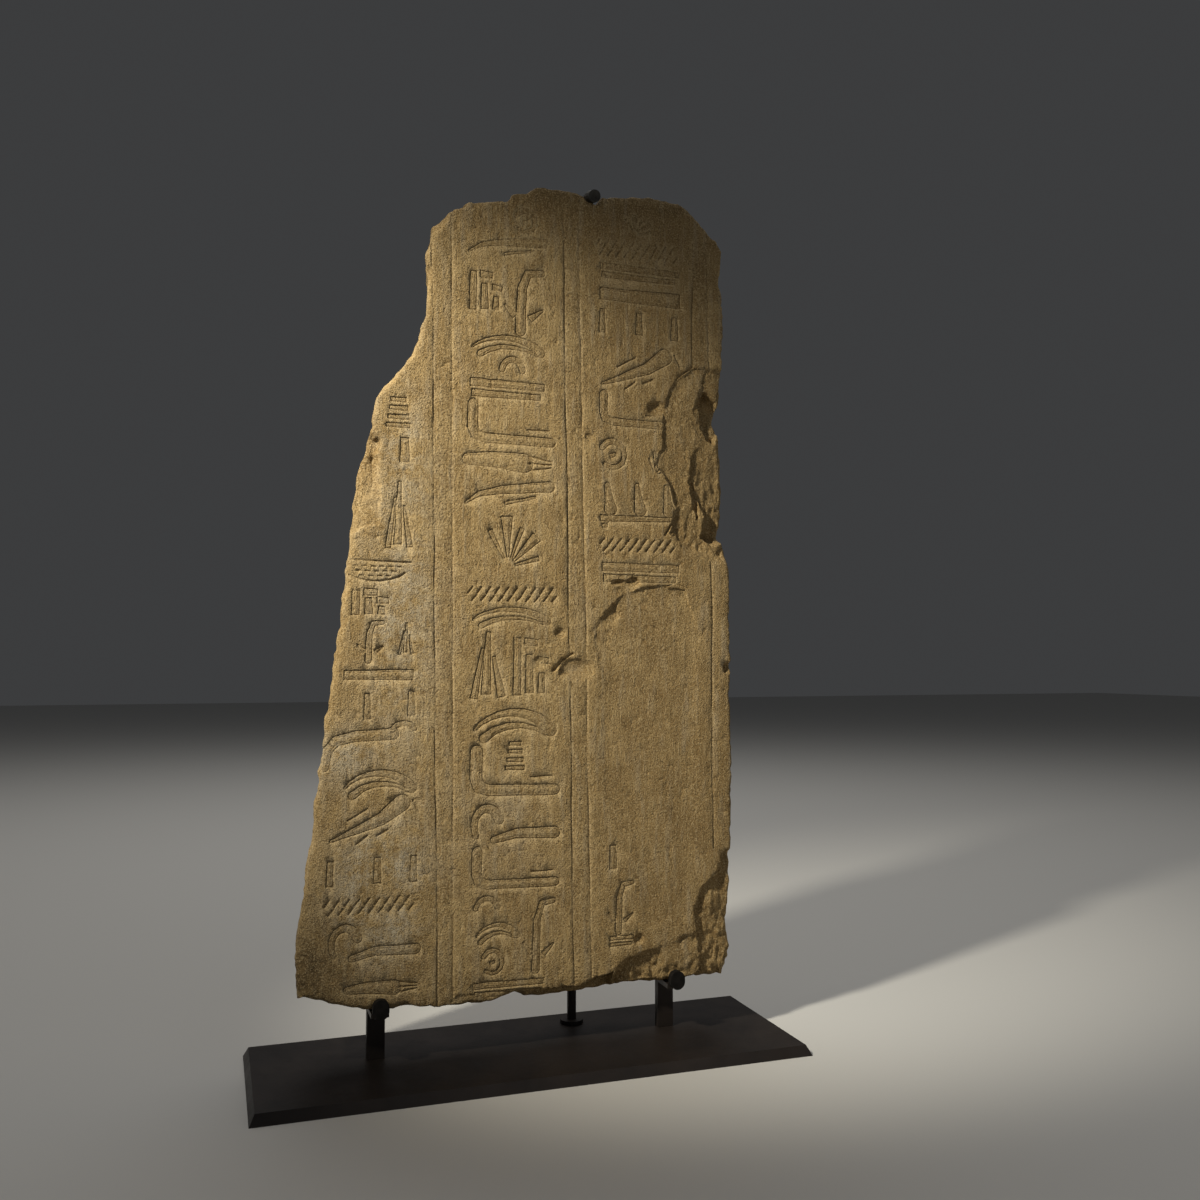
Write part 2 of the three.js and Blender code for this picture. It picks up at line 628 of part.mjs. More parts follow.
// An outline in Y and Z, made wide along X and centred on it.
function sideExtrusion(points, wide) {
  const shape = new THREE.Shape(points.map(([y, z]) => new THREE.Vector2(y, z)));
  const geometry = new THREE.ExtrudeGeometry(shape, { depth: wide, bevelEnabled: false });
  geometry.translate(0, 0, -wide / 2);
  geometry.applyMatrix4(new THREE.Matrix4().makeBasis(
    new THREE.Vector3(0, 1, 0), new THREE.Vector3(0, 0, 1), new THREE.Vector3(1, 0, 0),
  ));
  return geometry;
}

const SEAT_Z = slabZ(SEAT_SHARE);
const ARM_TOP = SEAT_Z - GAP;
const ARM_FLOOR = ARM_TOP - ARM_THICK;
const POST_Y = SLAB_FRONT + POST_FROM_FRONT;
const SLEEVE_BACK = SLAB_FRONT - GAP;
const SLEEVE_FRONT = SLEEVE_BACK - SLEEVE_THICK;
const TIP_BACK = SLEEVE_BACK - (SLEEVE_THICK - TIP_THICK) / 2;
const TIP_FRONT = TIP_BACK - TIP_THICK;
const SLEEVE_FLOOR = ARM_FLOOR;
const SLEEVE_TOP = SLEEVE_FLOOR + SLEEVE_TALL;
const TIP_TOP = SLEEVE_TOP - (SLEEVE_WIDE - TIP_WIDE) / 2;
// The arm bends up with this radius on its outer side.
const ARM_BEND = ARM_THICK;

// Upright bar, arm under the slab and narrow tip in front of it, all one bent bar.
function hookPost() {
  const bend = arc(TIP_FRONT + ARM_BEND, ARM_FLOOR + ARM_BEND, ARM_BEND, ARM_BEND, 180, 270, 4);
  const wholeArm = sideExtrusion([
    [POST_Y - POST_THICK / 2, PLATE_THICK + GAP], [POST_Y + POST_THICK / 2, PLATE_THICK + GAP],
    [POST_Y + POST_THICK / 2, ARM_TOP], [SLEEVE_BACK + GAP, ARM_TOP], [SLEEVE_BACK + GAP, ARM_FLOOR],
    [POST_Y - POST_THICK / 2, ARM_FLOOR],
  ], POST_WIDE);
  const tip = sideExtrusion([
    ...bend, [SLEEVE_BACK + 2 * GAP, ARM_FLOOR], [SLEEVE_BACK + 2 * GAP, ARM_TOP], [TIP_BACK, ARM_TOP],
    [TIP_BACK, TIP_TOP], [TIP_FRONT, TIP_TOP],
  ], TIP_WIDE);
  return geometryOf(solid(wholeArm).add(solid(tip)));
}

// A rounded cover over the tip, open below and behind where the tip comes in.
function hookSleeve() {
  const half = SLEEVE_WIDE / 2;
  const shape = new THREE.Shape();
  shape.absarc(0, SLEEVE_TOP - half, half, 0, Math.PI, false);
  shape.absarc(0, SLEEVE_FLOOR + half, half, Math.PI, Math.PI * 2, false);
  const options = { depth: SLEEVE_THICK, bevelEnabled: false, curveSegments: 9 };
  const cover = new THREE.ExtrudeGeometry(shape, options);
  cover.applyMatrix4(new THREE.Matrix4().makeBasis(
    new THREE.Vector3(1, 0, 0), new THREE.Vector3(0, 0, 1), new THREE.Vector3(0, -1, 0),
  ));
  cover.translate(0, SLEEVE_BACK, 0);
  const pocketTop = TIP_TOP + GAP;
  const pocketFloor = SLEEVE_FLOOR - GAP;
  const pocket = new THREE.BoxGeometry(TIP_WIDE + 2 * GAP, TIP_THICK + 2 * GAP, pocketTop - pocketFloor);
  pocket.translate(0, (TIP_BACK + TIP_FRONT) / 2, (pocketTop + pocketFloor) / 2);
  const wayTop = ARM_TOP + GAP;
  const wayIn = new THREE.BoxGeometry(TIP_WIDE + 2 * GAP, SLEEVE_THICK, wayTop - pocketFloor);
  wayIn.translate(0, TIP_FRONT - GAP + SLEEVE_THICK / 2, (wayTop + pocketFloor) / 2);
  return geometryOf(solid(cover).subtract(solid(pocket)).subtract(solid(wayIn)));
}

// The hidden upright: from a round foot up behind the slab, over its top edge and down into the notch.
const ROD_Y = SLAB_BACK + CLIP_RADIUS + GAP;
const NOTCH_X = slabX(NOTCH_SHARE);
const NOTCH_Z = slabZ(NOTCH_FLOOR_SHARE);
const ROD_TOP = NOTCH_Z + CLIP_RADIUS * 1.5 + GAP;
const ROD_FOOT = PLATE_THICK + GAP + ROD_FOOT_THICK / 2;

class RodPath extends THREE.Curve {
  constructor(points) {
    super();
    this.points = points;
    this.lengths = points.slice(1).map((point, index) => point.distanceTo(points[index]));
    this.total = this.lengths.reduce((sum, length) => sum + length, 0);
  }

  getPoint(share, target = new THREE.Vector3()) {
    let left = share * this.total;
    let index = 0;
    while (index < this.lengths.length - 1 && left > this.lengths[index]) {
      left -= this.lengths[index];
      index += 1;
    }
    return target.lerpVectors(this.points[index], this.points[index + 1], left / this.lengths[index]);
  }
}

function rodPoints() {
  const bendSteps = 6;
  const points = [
    new THREE.Vector3(NOTCH_X, ROD_Y, ROD_FOOT),
    new THREE.Vector3(NOTCH_X, ROD_Y, ROD_TOP - ROD_BEND),
  ];
  for (let step = 1; step <= bendSteps; step += 1) {
    const angle = Math.PI / 2 * step / bendSteps;
    points.push(new THREE.Vector3(
      NOTCH_X, ROD_Y - ROD_BEND * (1 - Math.cos(angle)), ROD_TOP - ROD_BEND * (1 - Math.sin(angle)),
    ));
  }
  points.push(new THREE.Vector3(NOTCH_X, SLAB_FRONT + ROD_DIP_FROM_FRONT, ROD_TOP));
  points.push(new THREE.Vector3(NOTCH_X, SLAB_FRONT - ROD_OVERHANG, ROD_TOP - ROD_DROP));
  return points;
}

// A round bar through a chain of points, with a flat end at each.
function roundBar(points, radius, sides) {
  const positions = [];
  const faces = [];
  points.forEach((point, level) => {
    const before = points[Math.max(0, level - 1)];
    const after = points[Math.min(points.length - 1, level + 1)];
    const along = after.clone().sub(before).normalize();
    const side = new THREE.Vector3(1, 0, 0);
    const up = new THREE.Vector3().crossVectors(along, side).normalize();
    for (let corner = 0; corner < sides; corner += 1) {
      const angle = 2 * Math.PI * corner / sides;
      const at = point.clone();
      at.addScaledVector(side, radius * Math.cos(angle));
      at.addScaledVector(up, radius * Math.sin(angle));
      positions.push(at.x, at.y, at.z);
    }
  });
  for (let level = 0; level < points.length - 1; level += 1) {
    for (let corner = 0; corner < sides; corner += 1) {
      const a = level * sides + corner;
      const b = level * sides + (corner + 1) % sides;
      faces.push(a, b, b + sides, a, b + sides, a + sides);
    }
  }
  const last = (points.length - 1) * sides;
  for (let corner = 1; corner < sides - 1; corner += 1) {
    faces.push(0, corner + 1, corner, last, last + corner, last + corner + 1);
  }
  const geometry = new THREE.BufferGeometry();
  geometry.setAttribute('position', new THREE.Float32BufferAttribute(positions, 3));
  geometry.setIndex(faces);
  return geometry;
}

function backUpright() {
  const foot = new THREE.CylinderGeometry(ROD_FOOT_RADIUS, ROD_FOOT_RADIUS, ROD_FOOT_THICK, 20);
  foot.rotateX(Math.PI / 2);
  foot.translate(NOTCH_X, ROD_Y, ROD_FOOT);
  return geometryOf(solid(roundBar(rodPoints(), ROD_RADIUS, 12)).add(solid(foot)));
}

function clipSleeve() {
  const path = new RodPath(rodPoints());
  const start = 1 - CLIP_LONG / path.total;
  const beyond = CLIP_RADIUS - ROD_RADIUS + 1;
  const points = [0, 0.4, 0.7, 1].map((share) => path.getPoint(start + (1 - start) * share));
  const outward = points[3].clone().sub(points[2]).normalize();
  points[3].addScaledVector(outward, beyond);
  const cover = solid(roundBar(points, CLIP_RADIUS, 14));
  const hole = solid(roundBar(rodPoints(), ROD_RADIUS + GAP, 12));
  return geometryOf(cover.subtract(hole));
}

function piece(name, geometry, look) {
  const mesh = new THREE.Mesh(geometry, new THREE.MeshStandardMaterial(look));
  mesh.name = name;
  return mesh;
}

const LIMESTONE = { color: 0xb7a27c, roughness: 0.9, metalness: 0 };
const DARK_STEEL = { color: 0x1c1917, roughness: 0.45, metalness: 0.4 };
const DARK_RUBBER = { color: 0x1a1413, roughness: 0.8, metalness: 0 };
const GREY_RUBBER = { color: 0x4a4744, roughness: 0.6, metalness: 0 };

const stand = new THREE.Group();
stand.add(piece('base_plate', basePlate(), DARK_STEEL));
for (const [side, share] of [['left', LEFT_POST_SHARE], ['right', RIGHT_POST_SHARE]]) {
  const holder = new THREE.Group();
  holder.position.x = SLAB_LEFT + SLAB_WIDE * share;
  holder.add(piece(`${side}_hook_post`, hookPost(), DARK_STEEL));
  holder.add(piece(`${side}_hook_sleeve`, hookSleeve(), DARK_RUBBER));
  stand.add(holder);
}
stand.add(piece('back_upright', backUpright(), DARK_STEEL));
stand.add(piece('top_clip_sleeve', clipSleeve(), GREY_RUBBER));

const panel = new THREE.Group();
panel.add(piece('relief_slab', reliefSlab(), LIMESTONE));
panel.add(stand);

export default panel;
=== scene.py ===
"""Looks for the carved limestone slab on its dark steel stand.

Sizes are in millimetres in this script's own sums and become metres in the meshes.
The carved face looks towards -Y, +X is to its right and +Z is up.
"""
import math

import bpy
import numpy as np
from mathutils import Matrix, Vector


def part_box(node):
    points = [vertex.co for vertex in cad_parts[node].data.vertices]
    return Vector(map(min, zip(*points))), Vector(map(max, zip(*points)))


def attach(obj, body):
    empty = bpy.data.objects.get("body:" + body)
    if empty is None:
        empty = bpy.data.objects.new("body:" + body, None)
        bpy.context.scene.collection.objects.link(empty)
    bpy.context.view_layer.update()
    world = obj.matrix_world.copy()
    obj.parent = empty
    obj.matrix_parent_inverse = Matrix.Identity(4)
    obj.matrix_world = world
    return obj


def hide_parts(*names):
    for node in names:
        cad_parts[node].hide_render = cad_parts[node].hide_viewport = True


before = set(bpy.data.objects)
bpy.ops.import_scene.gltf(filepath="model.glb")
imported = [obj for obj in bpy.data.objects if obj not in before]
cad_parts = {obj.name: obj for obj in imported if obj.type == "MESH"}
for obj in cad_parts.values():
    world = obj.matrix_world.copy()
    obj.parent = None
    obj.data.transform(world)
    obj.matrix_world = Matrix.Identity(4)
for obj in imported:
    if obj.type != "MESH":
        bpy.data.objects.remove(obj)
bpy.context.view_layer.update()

MM = 0.001

# Slab sizes, the same as the solid's
SLAB_LOW, SLAB_HIGH = (np.array(corner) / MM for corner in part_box("relief_slab"))
SLAB_LEFT = -283.0
SLAB_WIDE = 553.0
SLAB_FOOT = 70.0
SLAB_TALL = 1019.0
SLAB_FRONT = SLAB_LOW[1]
SLAB_BACK = SLAB_HIGH[1]
BACK_BEVEL = 9.0
# At the top, right, foot and left: how far the carved face stops short of the outline, how deep the
# broken edge between the face and the side reaches, and how far the side leans in towards the back
FACE_INSET = (2.2, 2.2, 5, 2.4)
EDGE_RUN = (6, 9, 16, 9)
SIDE_LEAN = (0.8, 0.8, 0.8, 12)

# Carving sizes
STROKE_DEPTH = 2.0
LINE_WIDE = 3.0
LINE_DEPTH = 2.1
# Width of the thinnest strokes, of the painted highlight beside a stroke and of one step in a row of slants
THIN = 2.4
HIGHLIGHT_RIM_WIDE = 0.9
SLANT_PITCH = 11

# Grid of the carved face: blocks of fine cells about 0.7 mm wide
BLOCK = 32
BLOCKS_ACROSS = 24
BLOCKS_UP = 45
ACROSS = BLOCK * BLOCKS_ACROSS
UP = BLOCK * BLOCKS_UP
# Cells of the face for each point of the sides
EDGE_CELLS = 4
# How far a flat cell may be from the surface, on the face and on the back
FACE_TOLERANCE = 0.06
BACK_TOLERANCE = 0.5
# Triangles of the finished mesh
TRIANGLES = 188000
SIDE_STEPS = 12

# Camera of the photograph: focal length and horizon in pixels of its 1200 pixel frame, place in metres
PHOTO_PIXELS = 1200
FOCAL_PIXELS = 1125
HORIZON_PIXEL = 660
CAMERA_AT = (-0.374, -1.357, 0.484)
CAMERA_TURN = math.radians(19)
SENSOR_WIDE = 36

# The raking lamp, in metres and watts
KEY_AT = (-1.245, -0.71, 1.585)
KEY_AIM = (-0.08, -0.02, 0.58)
KEY_SPREAD = math.radians(35)
KEY_SIZE = 0.07
KEY_POWER = 186

# Half the width of the floor, in metres
FLOOR_REACH = 12

# The flat seats of the underside and the notch in the top edge. SEAT and NOTCH_FLOOR are heights in
# hundredths of the slab's height, and the rest are in hundredths of its width.
SEAT = 0.6
SEAT_HALF = 3.4
LEFT_SEAT = 18.1
RIGHT_SEAT = 85.0
NOTCH_AT = 65.2
NOTCH_FLOOR = 98.05

# Outline of the broken slab, clockwise from the top left corner, in hundredths of its width and height
TOP_EDGE = [
    (27.9, 92.8), (31.4, 94.5), (33.3, 95.8), (36.3, 96.3), (41.9, 96.8), (44.6, 97.1), (45.6, 97.9),
    (49.8, 98.4), (51.2, 99.1), (53.6, 99.4), (60.8, 99.4),
    (63, 98.9), (NOTCH_AT - 1, NOTCH_FLOOR + 0.15), (NOTCH_AT + 1, NOTCH_FLOOR), (67.3, 99.1),
    (79.1, 100), (86.6, 99.7), (91.6, 97.9), (96.9, 95.2), (98.2, 93.9),
]
RIGHT_EDGE = [
    (98.2, 93.9), (97.6, 90.2), (98.4, 85.7), (98.2, 78.2), (96.9, 71.1), (98.4, 64.6), (99.1, 59.1),
    (98.3, 56.4), (99.4, 54.8), (99.9, 52), (100, 17), (99, 6.6), (99.7, 4.6), (99.6, 3), (97.6, 0.8),
]
FOOT_EDGE = [
    (97.6, 0.8), (95, SEAT), (RIGHT_SEAT + SEAT_HALF, SEAT), (RIGHT_SEAT - SEAT_HALF, SEAT),
    (60, 0.1), (49.8, 0.4), (47.6, 0.9), (41.8, 0.1), (35.6, 0),
    (LEFT_SEAT + SEAT_HALF, SEAT), (LEFT_SEAT - SEAT_HALF, SEAT), (8, 1.6), (1.4, 2.7),
]
LEFT_EDGE = [
    (1.4, 2.7), (0.1, 7.3), (3.6, 21.3), (5, 30.3), (8.6, 44.5), (12, 61.7), (14.8, 66.9),
    (15.4, 71.5), (23.3, 76.8), (26.6, 81.7), (26.8, 84.8), (26.1, 89.1), (27.9, 92.8),
]


def slab_x(hundredths):
    return SLAB_LEFT + SLAB_WIDE * hundredths / 100


def slab_z(hundredths):
    return SLAB_FOOT + SLAB_TALL * hundredths / 100


# Noise

LOW_BITS = 0xFFFFFFFF
COLUMN_FACTOR = 374761393
ROW_FACTOR = 668265263
SEED_FACTOR = 144269504
MIX_FACTOR = 1274126177


def scatter(column, row, seed):
    """A number from -1 to 1 for each cell of a grid, always the same for the same cell and seed."""
    mixed = column.astype(np.int64) * COLUMN_FACTOR + row.astype(np.int64) * ROW_FACTOR + seed * SEED_FACTOR
    mixed = mixed & LOW_BITS
    mixed = ((mixed ^ (mixed >> 13)) * MIX_FACTOR) & LOW_BITS
    mixed = mixed ^ (mixed >> 16)
    return mixed / (LOW_BITS // 2) - 1.0


def noise(x, z, wide, tall, seed, angular=False):
    """Noise from -1 to 1 whose lumps are about wide by tall, smooth or with straight slopes and creases."""
    u = np.asarray(x, float) / wide
    v = np.asarray(z, float) / tall
    column = np.floor(u)
    row = np.floor(v)
    fu = u - column
    fv = v - row
    if not angular:
        fu = fu * fu * fu * (fu * (fu * 6 - 15) + 10)
        fv = fv * fv * fv * (fv * (fv * 6 - 15) + 10)
    low = scatter(column, row, seed) * (1 - fu) + scatter(column + 1, row, seed) * fu
    high = scatter(column, row + 1, seed) * (1 - fu) + scatter(column + 1, row + 1, seed) * fu
    return low * (1 - fv) + high * fv


def layered(x, z, wide, tall, seed, layers=4):
    """Noise of several sizes added up, still from about -1 to 1."""
    total = 0.0
    weight = 1.0
    sum_of_weights = 0.0
    for layer in range(layers):
        total = total + weight * noise(x, z, wide, tall, seed + 17 * layer)
        sum_of_weights += weight
        weight *= 0.5
        wide *= 0.5
        tall *= 0.5
    return total / sum_of_weights


def ease(low, high, value):
    """0 below low, 1 above high and smooth between them."""
    share = np.clip((value - low) / (high - low), 0, 1)
    return share * share * (3 - 2 * share)


# Outline

def on_seats(x):
    """Whether each place across the slab is over one of the two seats."""
    found = np.zeros(len(x), bool)
    for seat in (LEFT_SEAT, RIGHT_SEAT):
        found |= np.abs(x - slab_x(seat)) < SLAB_WIDE * SEAT_HALF / 100
    return found


def side_points(corners, cells, seed, seated=False):
    """cells + 1 points along one side of the outline, roughened inwards but not on the seats."""
    points = np.array([(slab_x(across), slab_z(up)) for across, up in corners])
    lengths = np.hypot(*np.diff(points, axis=0).T)
    reached = np.concatenate([[0], np.cumsum(lengths)])
    along = np.linspace(0, reached[-1], cells + 1)
    smooth = np.stack([np.interp(along, reached, points[:, axis]) for axis in (0, 1)], 1)
    heading = np.gradient(smooth, axis=0)
    heading /= np.linalg.norm(heading, axis=1)[:, None] + 1e-9
    inward = np.stack([heading[:, 1], -heading[:, 0]], 1)
    amount = 0.9 + 1.4 * noise(along, 0 * along, 16, 1, seed, True)
    amount += 0.9 * noise(along, 0 * along, 5.5, 1, seed + 5, True)
    amount *= ease(0, 6, along) * ease(0, 6, reached[-1] - along)
    if seated:
        amount = np.where(on_seats(smooth[:, 0]), 0, amount)
    return smooth + inward * np.clip(amount, 0, None)[:, None]


def whole_outline():
    """The four sides in the order that goes round the slab, without repeated corners."""
    top = side_points(TOP_EDGE, ACROSS, 11)
    right = side_points(RIGHT_EDGE, UP, 12)
    foot = side_points(FOOT_EDGE, ACROSS, 13, True)
    left = side_points(LEFT_EDGE, UP, 14)
    return np.concatenate([top[:-1], right[:-1], foot[:-1], left[:-1]])


def inward_of(ring, reach=9):
    """Unit vectors that point into the slab at each point of a closed ring."""
    heading = np.roll(ring, -reach, 0) - np.roll(ring, reach, 0)
    heading /= np.linalg.norm(heading, axis=1)[:, None] + 1e-9
    return np.stack([heading[:, 1], -heading[:, 0]], 1)


def share_of_sides(values):
    """One value for each side of the outline, blended at the corners, for every point of the ring."""
    counts = (ACROSS, UP, ACROSS, UP)
    spread = np.concatenate([np.full(count, float(value)) for count, value in zip(counts, values)])
    width = 61
    padded = np.concatenate([spread[-width:], spread, spread[:width]])
    return np.convolve(padded, np.ones(width) / width, "same")[width:-width]


def fill_grid(ring):
    """Spreads a closed ring over a grid of points, row 0 at the foot and column 0 at the left."""
    top = ring[:ACROSS + 1]
    right = ring[ACROSS:ACROSS + UP + 1][::-1]
    foot = ring[ACROSS + UP:2 * ACROSS + UP + 1][::-1]
    left = np.concatenate([ring[2 * ACROSS + UP:], ring[:1]])
    s = np.linspace(0, 1, ACROSS + 1)[None, :, None]
    t = np.linspace(0, 1, UP + 1)[:, None, None]
    ruled = (1 - t) * foot[None] + t * top[None] + (1 - s) * left[:, None] + s * right[:, None]
    corners = ((1 - s) * (1 - t) * foot[0] + s * (1 - t) * foot[-1]
               + (1 - s) * t * top[0] + s * t * top[-1])
    return ruled - corners


# Strokes

def arc(centre_x, centre_z, radius_x, radius_z, start, end, steps=9):
    """Points along an arc, with its angles in degrees from the right."""
    turns = [math.radians(start + (end - start) * step / steps) for step in range(steps + 1)]
    return [(centre_x + radius_x * math.cos(turn), centre_z + radius_z * math.sin(turn)) for turn in turns]


def bar(w, h):
    return [([(0, h / 2), (w, h / 2)], h * 0.8, h)]


def bars(w, h):
    return [
        ([(0, h * 0.77), (w, h * 0.73)], h * 0.46, h * 0.42),
        ([(w * 0.02, h * 0.22), (w * 0.95, h * 0.2)], h * 0.42, h * 0.34),
    ]


def upright(w, h):
    return [([(w / 2, h), (w / 2, 0)], w * 0.8, w)]


def slants(w, h):
    count = max(3, round(w / SLANT_PITCH))
    pitch = w / count
    strokes = []
    for n in range(count):
        x = n * pitch
        strokes.append(([(x, h * 0.5), (x + pitch * 0.62, h)], THIN * 1.4, THIN))
        strokes.append(([(x + pitch * 0.4, 0), (x + pitch, h * 0.44)], THIN * 1.2, THIN))
    return strokes


def arch(w, h):
    return [(arc(w / 2, 0, w * 0.42, h * 0.8, 170, 10), h * 0.44, h * 0.44)]


def swell(w, h):
    return [
        (arc(w / 2, -h * 0.3, w * 0.5, h * 1.16, 152, 24), h * 0.16, h * 0.5),
        (arc(w * 0.55, -h * 0.6, w * 0.46, h * 0.98, 148, 40, 5), h * 0.4, h * 0.16),
    ]


def crook(w, h):
    bend = [(h * 0.14, h), (h * 0.13, h * 0.44), (h * 0.2, h * 0.24), (h * 0.42, h * 0.16), (w, h * 0.13)]
    return [
        (bend, h * 0.3, h * 0.26),
        ([(w * 0.7, h * 0.42), (w * 0.98, h * 0.44)], THIN, THIN * 0.8),
    ]


def fork(w, h):
    strokes = [([(0, h * 0.56), (w * 0.3, h * 0.6), (w * 0.66, h * 0.5)], h * 0.5, h * 0.84)]
    for up in (0.2, 0.5, 0.8):
        strokes.append(([(w * 0.72, h * up), (w, h * (0.3 + up * 0.4))], THIN * 1.1, THIN * 0.8))
    return strokes


def comb(w, h):
    strokes = [([(0, h * 0.92), (w, h * 0.86)], THIN * 1.2, THIN)]
    for row in range(3):
        for n in range(6 - row):
            x = w * (0.06 + 0.14 * n + 0.05 * row)
            dash = [(x, h * (0.68 - 0.2 * row)), (x + w * 0.09, h * (0.67 - 0.2 * row))]
            strokes.append((dash, THIN * 0.8, THIN * 0.8))
    strokes.append((arc(w * 0.42, h * 0.62, w * 0.5, h * 0.56, 215, 338, 6), THIN, THIN * 1.3))
    return strokes


def steps(w, h):
    return [
        ([(w * 0.08, h * 0.04), (w * 0.1, h * 0.94)], w * 0.24, w * 0.22),
        ([(w * 0.28, h * 0.88), (w * 0.68, h * 0.86)], w * 0.22, w * 0.2),
        ([(w * 0.42, h * 0.68), (w * 0.44, h * 0.08)], w * 0.2, w * 0.26),
        ([(w * 0.64, h * 0.6), (w * 0.98, h * 0.58)], w * 0.2, w * 0.18),
        ([(w * 0.76, h * 0.08), (w * 0.78, h * 0.4)], w * 0.22, w * 0.18),
    ]


def stalk(w, h):
    stem = [(w * 0.42, 0), (w * 0.46, h * 0.68), (w * 0.6, h * 0.92), (w * 0.95, h * 0.95)]
    return [
        (stem, w * 0.28, w * 0.18),
        ([(w * 0.3, h * 0.22), (w * 0.02, h * 0.4)], w * 0.2, w * 0.08),
        ([(w * 0.64, h * 0.2), (w * 0.98, h * 0.36)], w * 0.2, w * 0.08),
    ]


def sheaf(w, h):
    return [
        ([(w * 0.1, 0), (w * 0.36, h * 0.76)], w * 0.26, w * 0.12),
        ([(w * 0.46, h * 0.06), (w * 0.52, h)], w * 0.34, w * 0.16),
        ([(w * 0.92, h * 0.02), (w * 0.68, h * 0.64)], w * 0.28, w * 0.12),
    ]


def rungs(w, h):
    return [([(w * 0.06 * n, h * up), (w * (1 - 0.05 * n), h * up)], h * 0.15, h * 0.18)
            for n, up in enumerate((0.1, 0.36, 0.64, 0.9))]


def rise(w, h):
    return [
        ([(0, 0), (w * 0.16, h * 0.4), (w * 0.42, h * 0.62), (w, h * 0.84)], h * 0.14, h * 0.52),
        ([(w * 0.46, h * 0.04), (w * 0.84, h * 0.36)], h * 0.2, h * 0.14),
    ]


def fan(w, h):
    strokes = []
    for n, lean in enumerate((12, 38, 64, 92, 124)):
        turn = math.radians(lean)
        reach = 0.62 + 0.1 * (n % 2)
        wide = 0.19 if n % 2 else 0.09
        near_end = (w * (0.42 + 0.1 * math.cos(turn)), h * (0.16 + 0.14 * math.sin(turn)))
        far_end = (w * (0.42 + reach * 0.8 * math.cos(turn)), h * (0.16 + reach * 1.1 * math.sin(turn)))
        strokes.append(([near_end, far_end], w * 0.05, w * wide))
    return strokes


def sweep(w, h):
    body = [(0, 0), (w * 0.03, h * 0.4), (w * 0.12, h * 0.6), (w * 0.32, h * 0.7), (w * 0.74, h * 0.74)]
    return [
        (body, h * 0.2, h * 0.3),
        (arc(w * 0.86, h * 0.78, w * 0.13, h * 0.2, 200, 20, 5), h * 0.16, h * 0.14),
    ]


def plume(w, h):
    body = [(w * 0.03, h * 0.1), (w * 0.3, h * 0.3), (w * 0.58, h * 0.52), (w * 0.8, h * 0.84)]
    return [
        (body, h * 0.08, h * 0.4),
        ([(w * 0.2, h * 0.5), (w * 0.44, h * 0.76)], THIN, THIN * 0.8),
        ([(w * 0.52, h * 0.16), (w * 0.66, h * 0.3)], THIN * 1.4, THIN),
        ([(w * 0.3, 0), (w * 0.44, h * 0.2)], THIN, THIN),
        ([(w * 0.92, h * 0.92), (w, h * 0.62)], THIN * 1.3, THIN * 0.8),
    ]


def crest(w, h):
    return [
        (arc(w * 0.2, h * 0.44, w * 0.15, h * 0.42, 215, 20), h * 0.16, h * 0.26),
        ([(w * 0.28, h * 0.1), (w * 0.54, h * 0.24), (w, h * 0.22)], h * 0.2, h * 0.3),
    ]


def curl(w, h):
    return [
        (arc(w / 2, h / 2, w * 0.4, h * 0.4, 150, -130), w * 0.24, w * 0.18),
        ([(w * 0.38, h * 0.44), (w * 0.62, h * 0.52)], w * 0.18, w * 0.14),
    ]


def pods(w, h):
    strokes = []
    for at in (0.12, 0.5, 0.88):
        pod = [(w * (at - 0.02), h * 0.98), (w * at, h * 0.62), (w * (at + 0.02), h * 0.44)]
        strokes.append((pod, w * 0.07, w * 0.17))
    strokes.append(([(0, h * 0.22), (w * 0.96, h * 0.24)], h * 0.16, h * 0.12))
    strokes.append(([(w * 0.06, h * 0.12), (w * 0.07, 0)], h * 0.16, h * 0.14))
    return strokes


# The strokes of each column from the top down: group, then left, right, bottom and top
# in hundredths of the slab's width and height
LEFT_COLUMN = [
    (rungs, 18, 23.4, 67.8, 71.6), (upright, 21, 23.4, 63.8, 66.8), (sheaf, 18.2, 24, 53.6, 61.6),
    (comb, 10.6, 24, 49.6, 52.4), (steps, 11.4, 19.4, 45.6, 48.9), (stalk, 12.4, 18.2, 40.6, 45.2),
    (sheaf, 21.2, 24.6, 41.2, 45), (bar, 9.8, 24.6, 38.2, 39.6), (upright, 13.9, 15.6, 33.8, 36.8),
    (upright, 23.2, 25, 34.1, 37.1), (sweep, 6.2, 25.2, 28.4, 33.4), (swell, 9.4, 25, 25.4, 28),
    (plume, 7, 26, 19.6, 25), (upright, 6.6, 8.4, 15, 17.9), (upright, 16.3, 18.2, 15.1, 18.1),
    (upright, 24, 25.8, 15, 18.1), (slants, 6.2, 25, 11.8, 13.6), (crest, 7, 25.4, 6.4, 11),
    (fork, 11.4, 26, 2.2, 4.3),
]
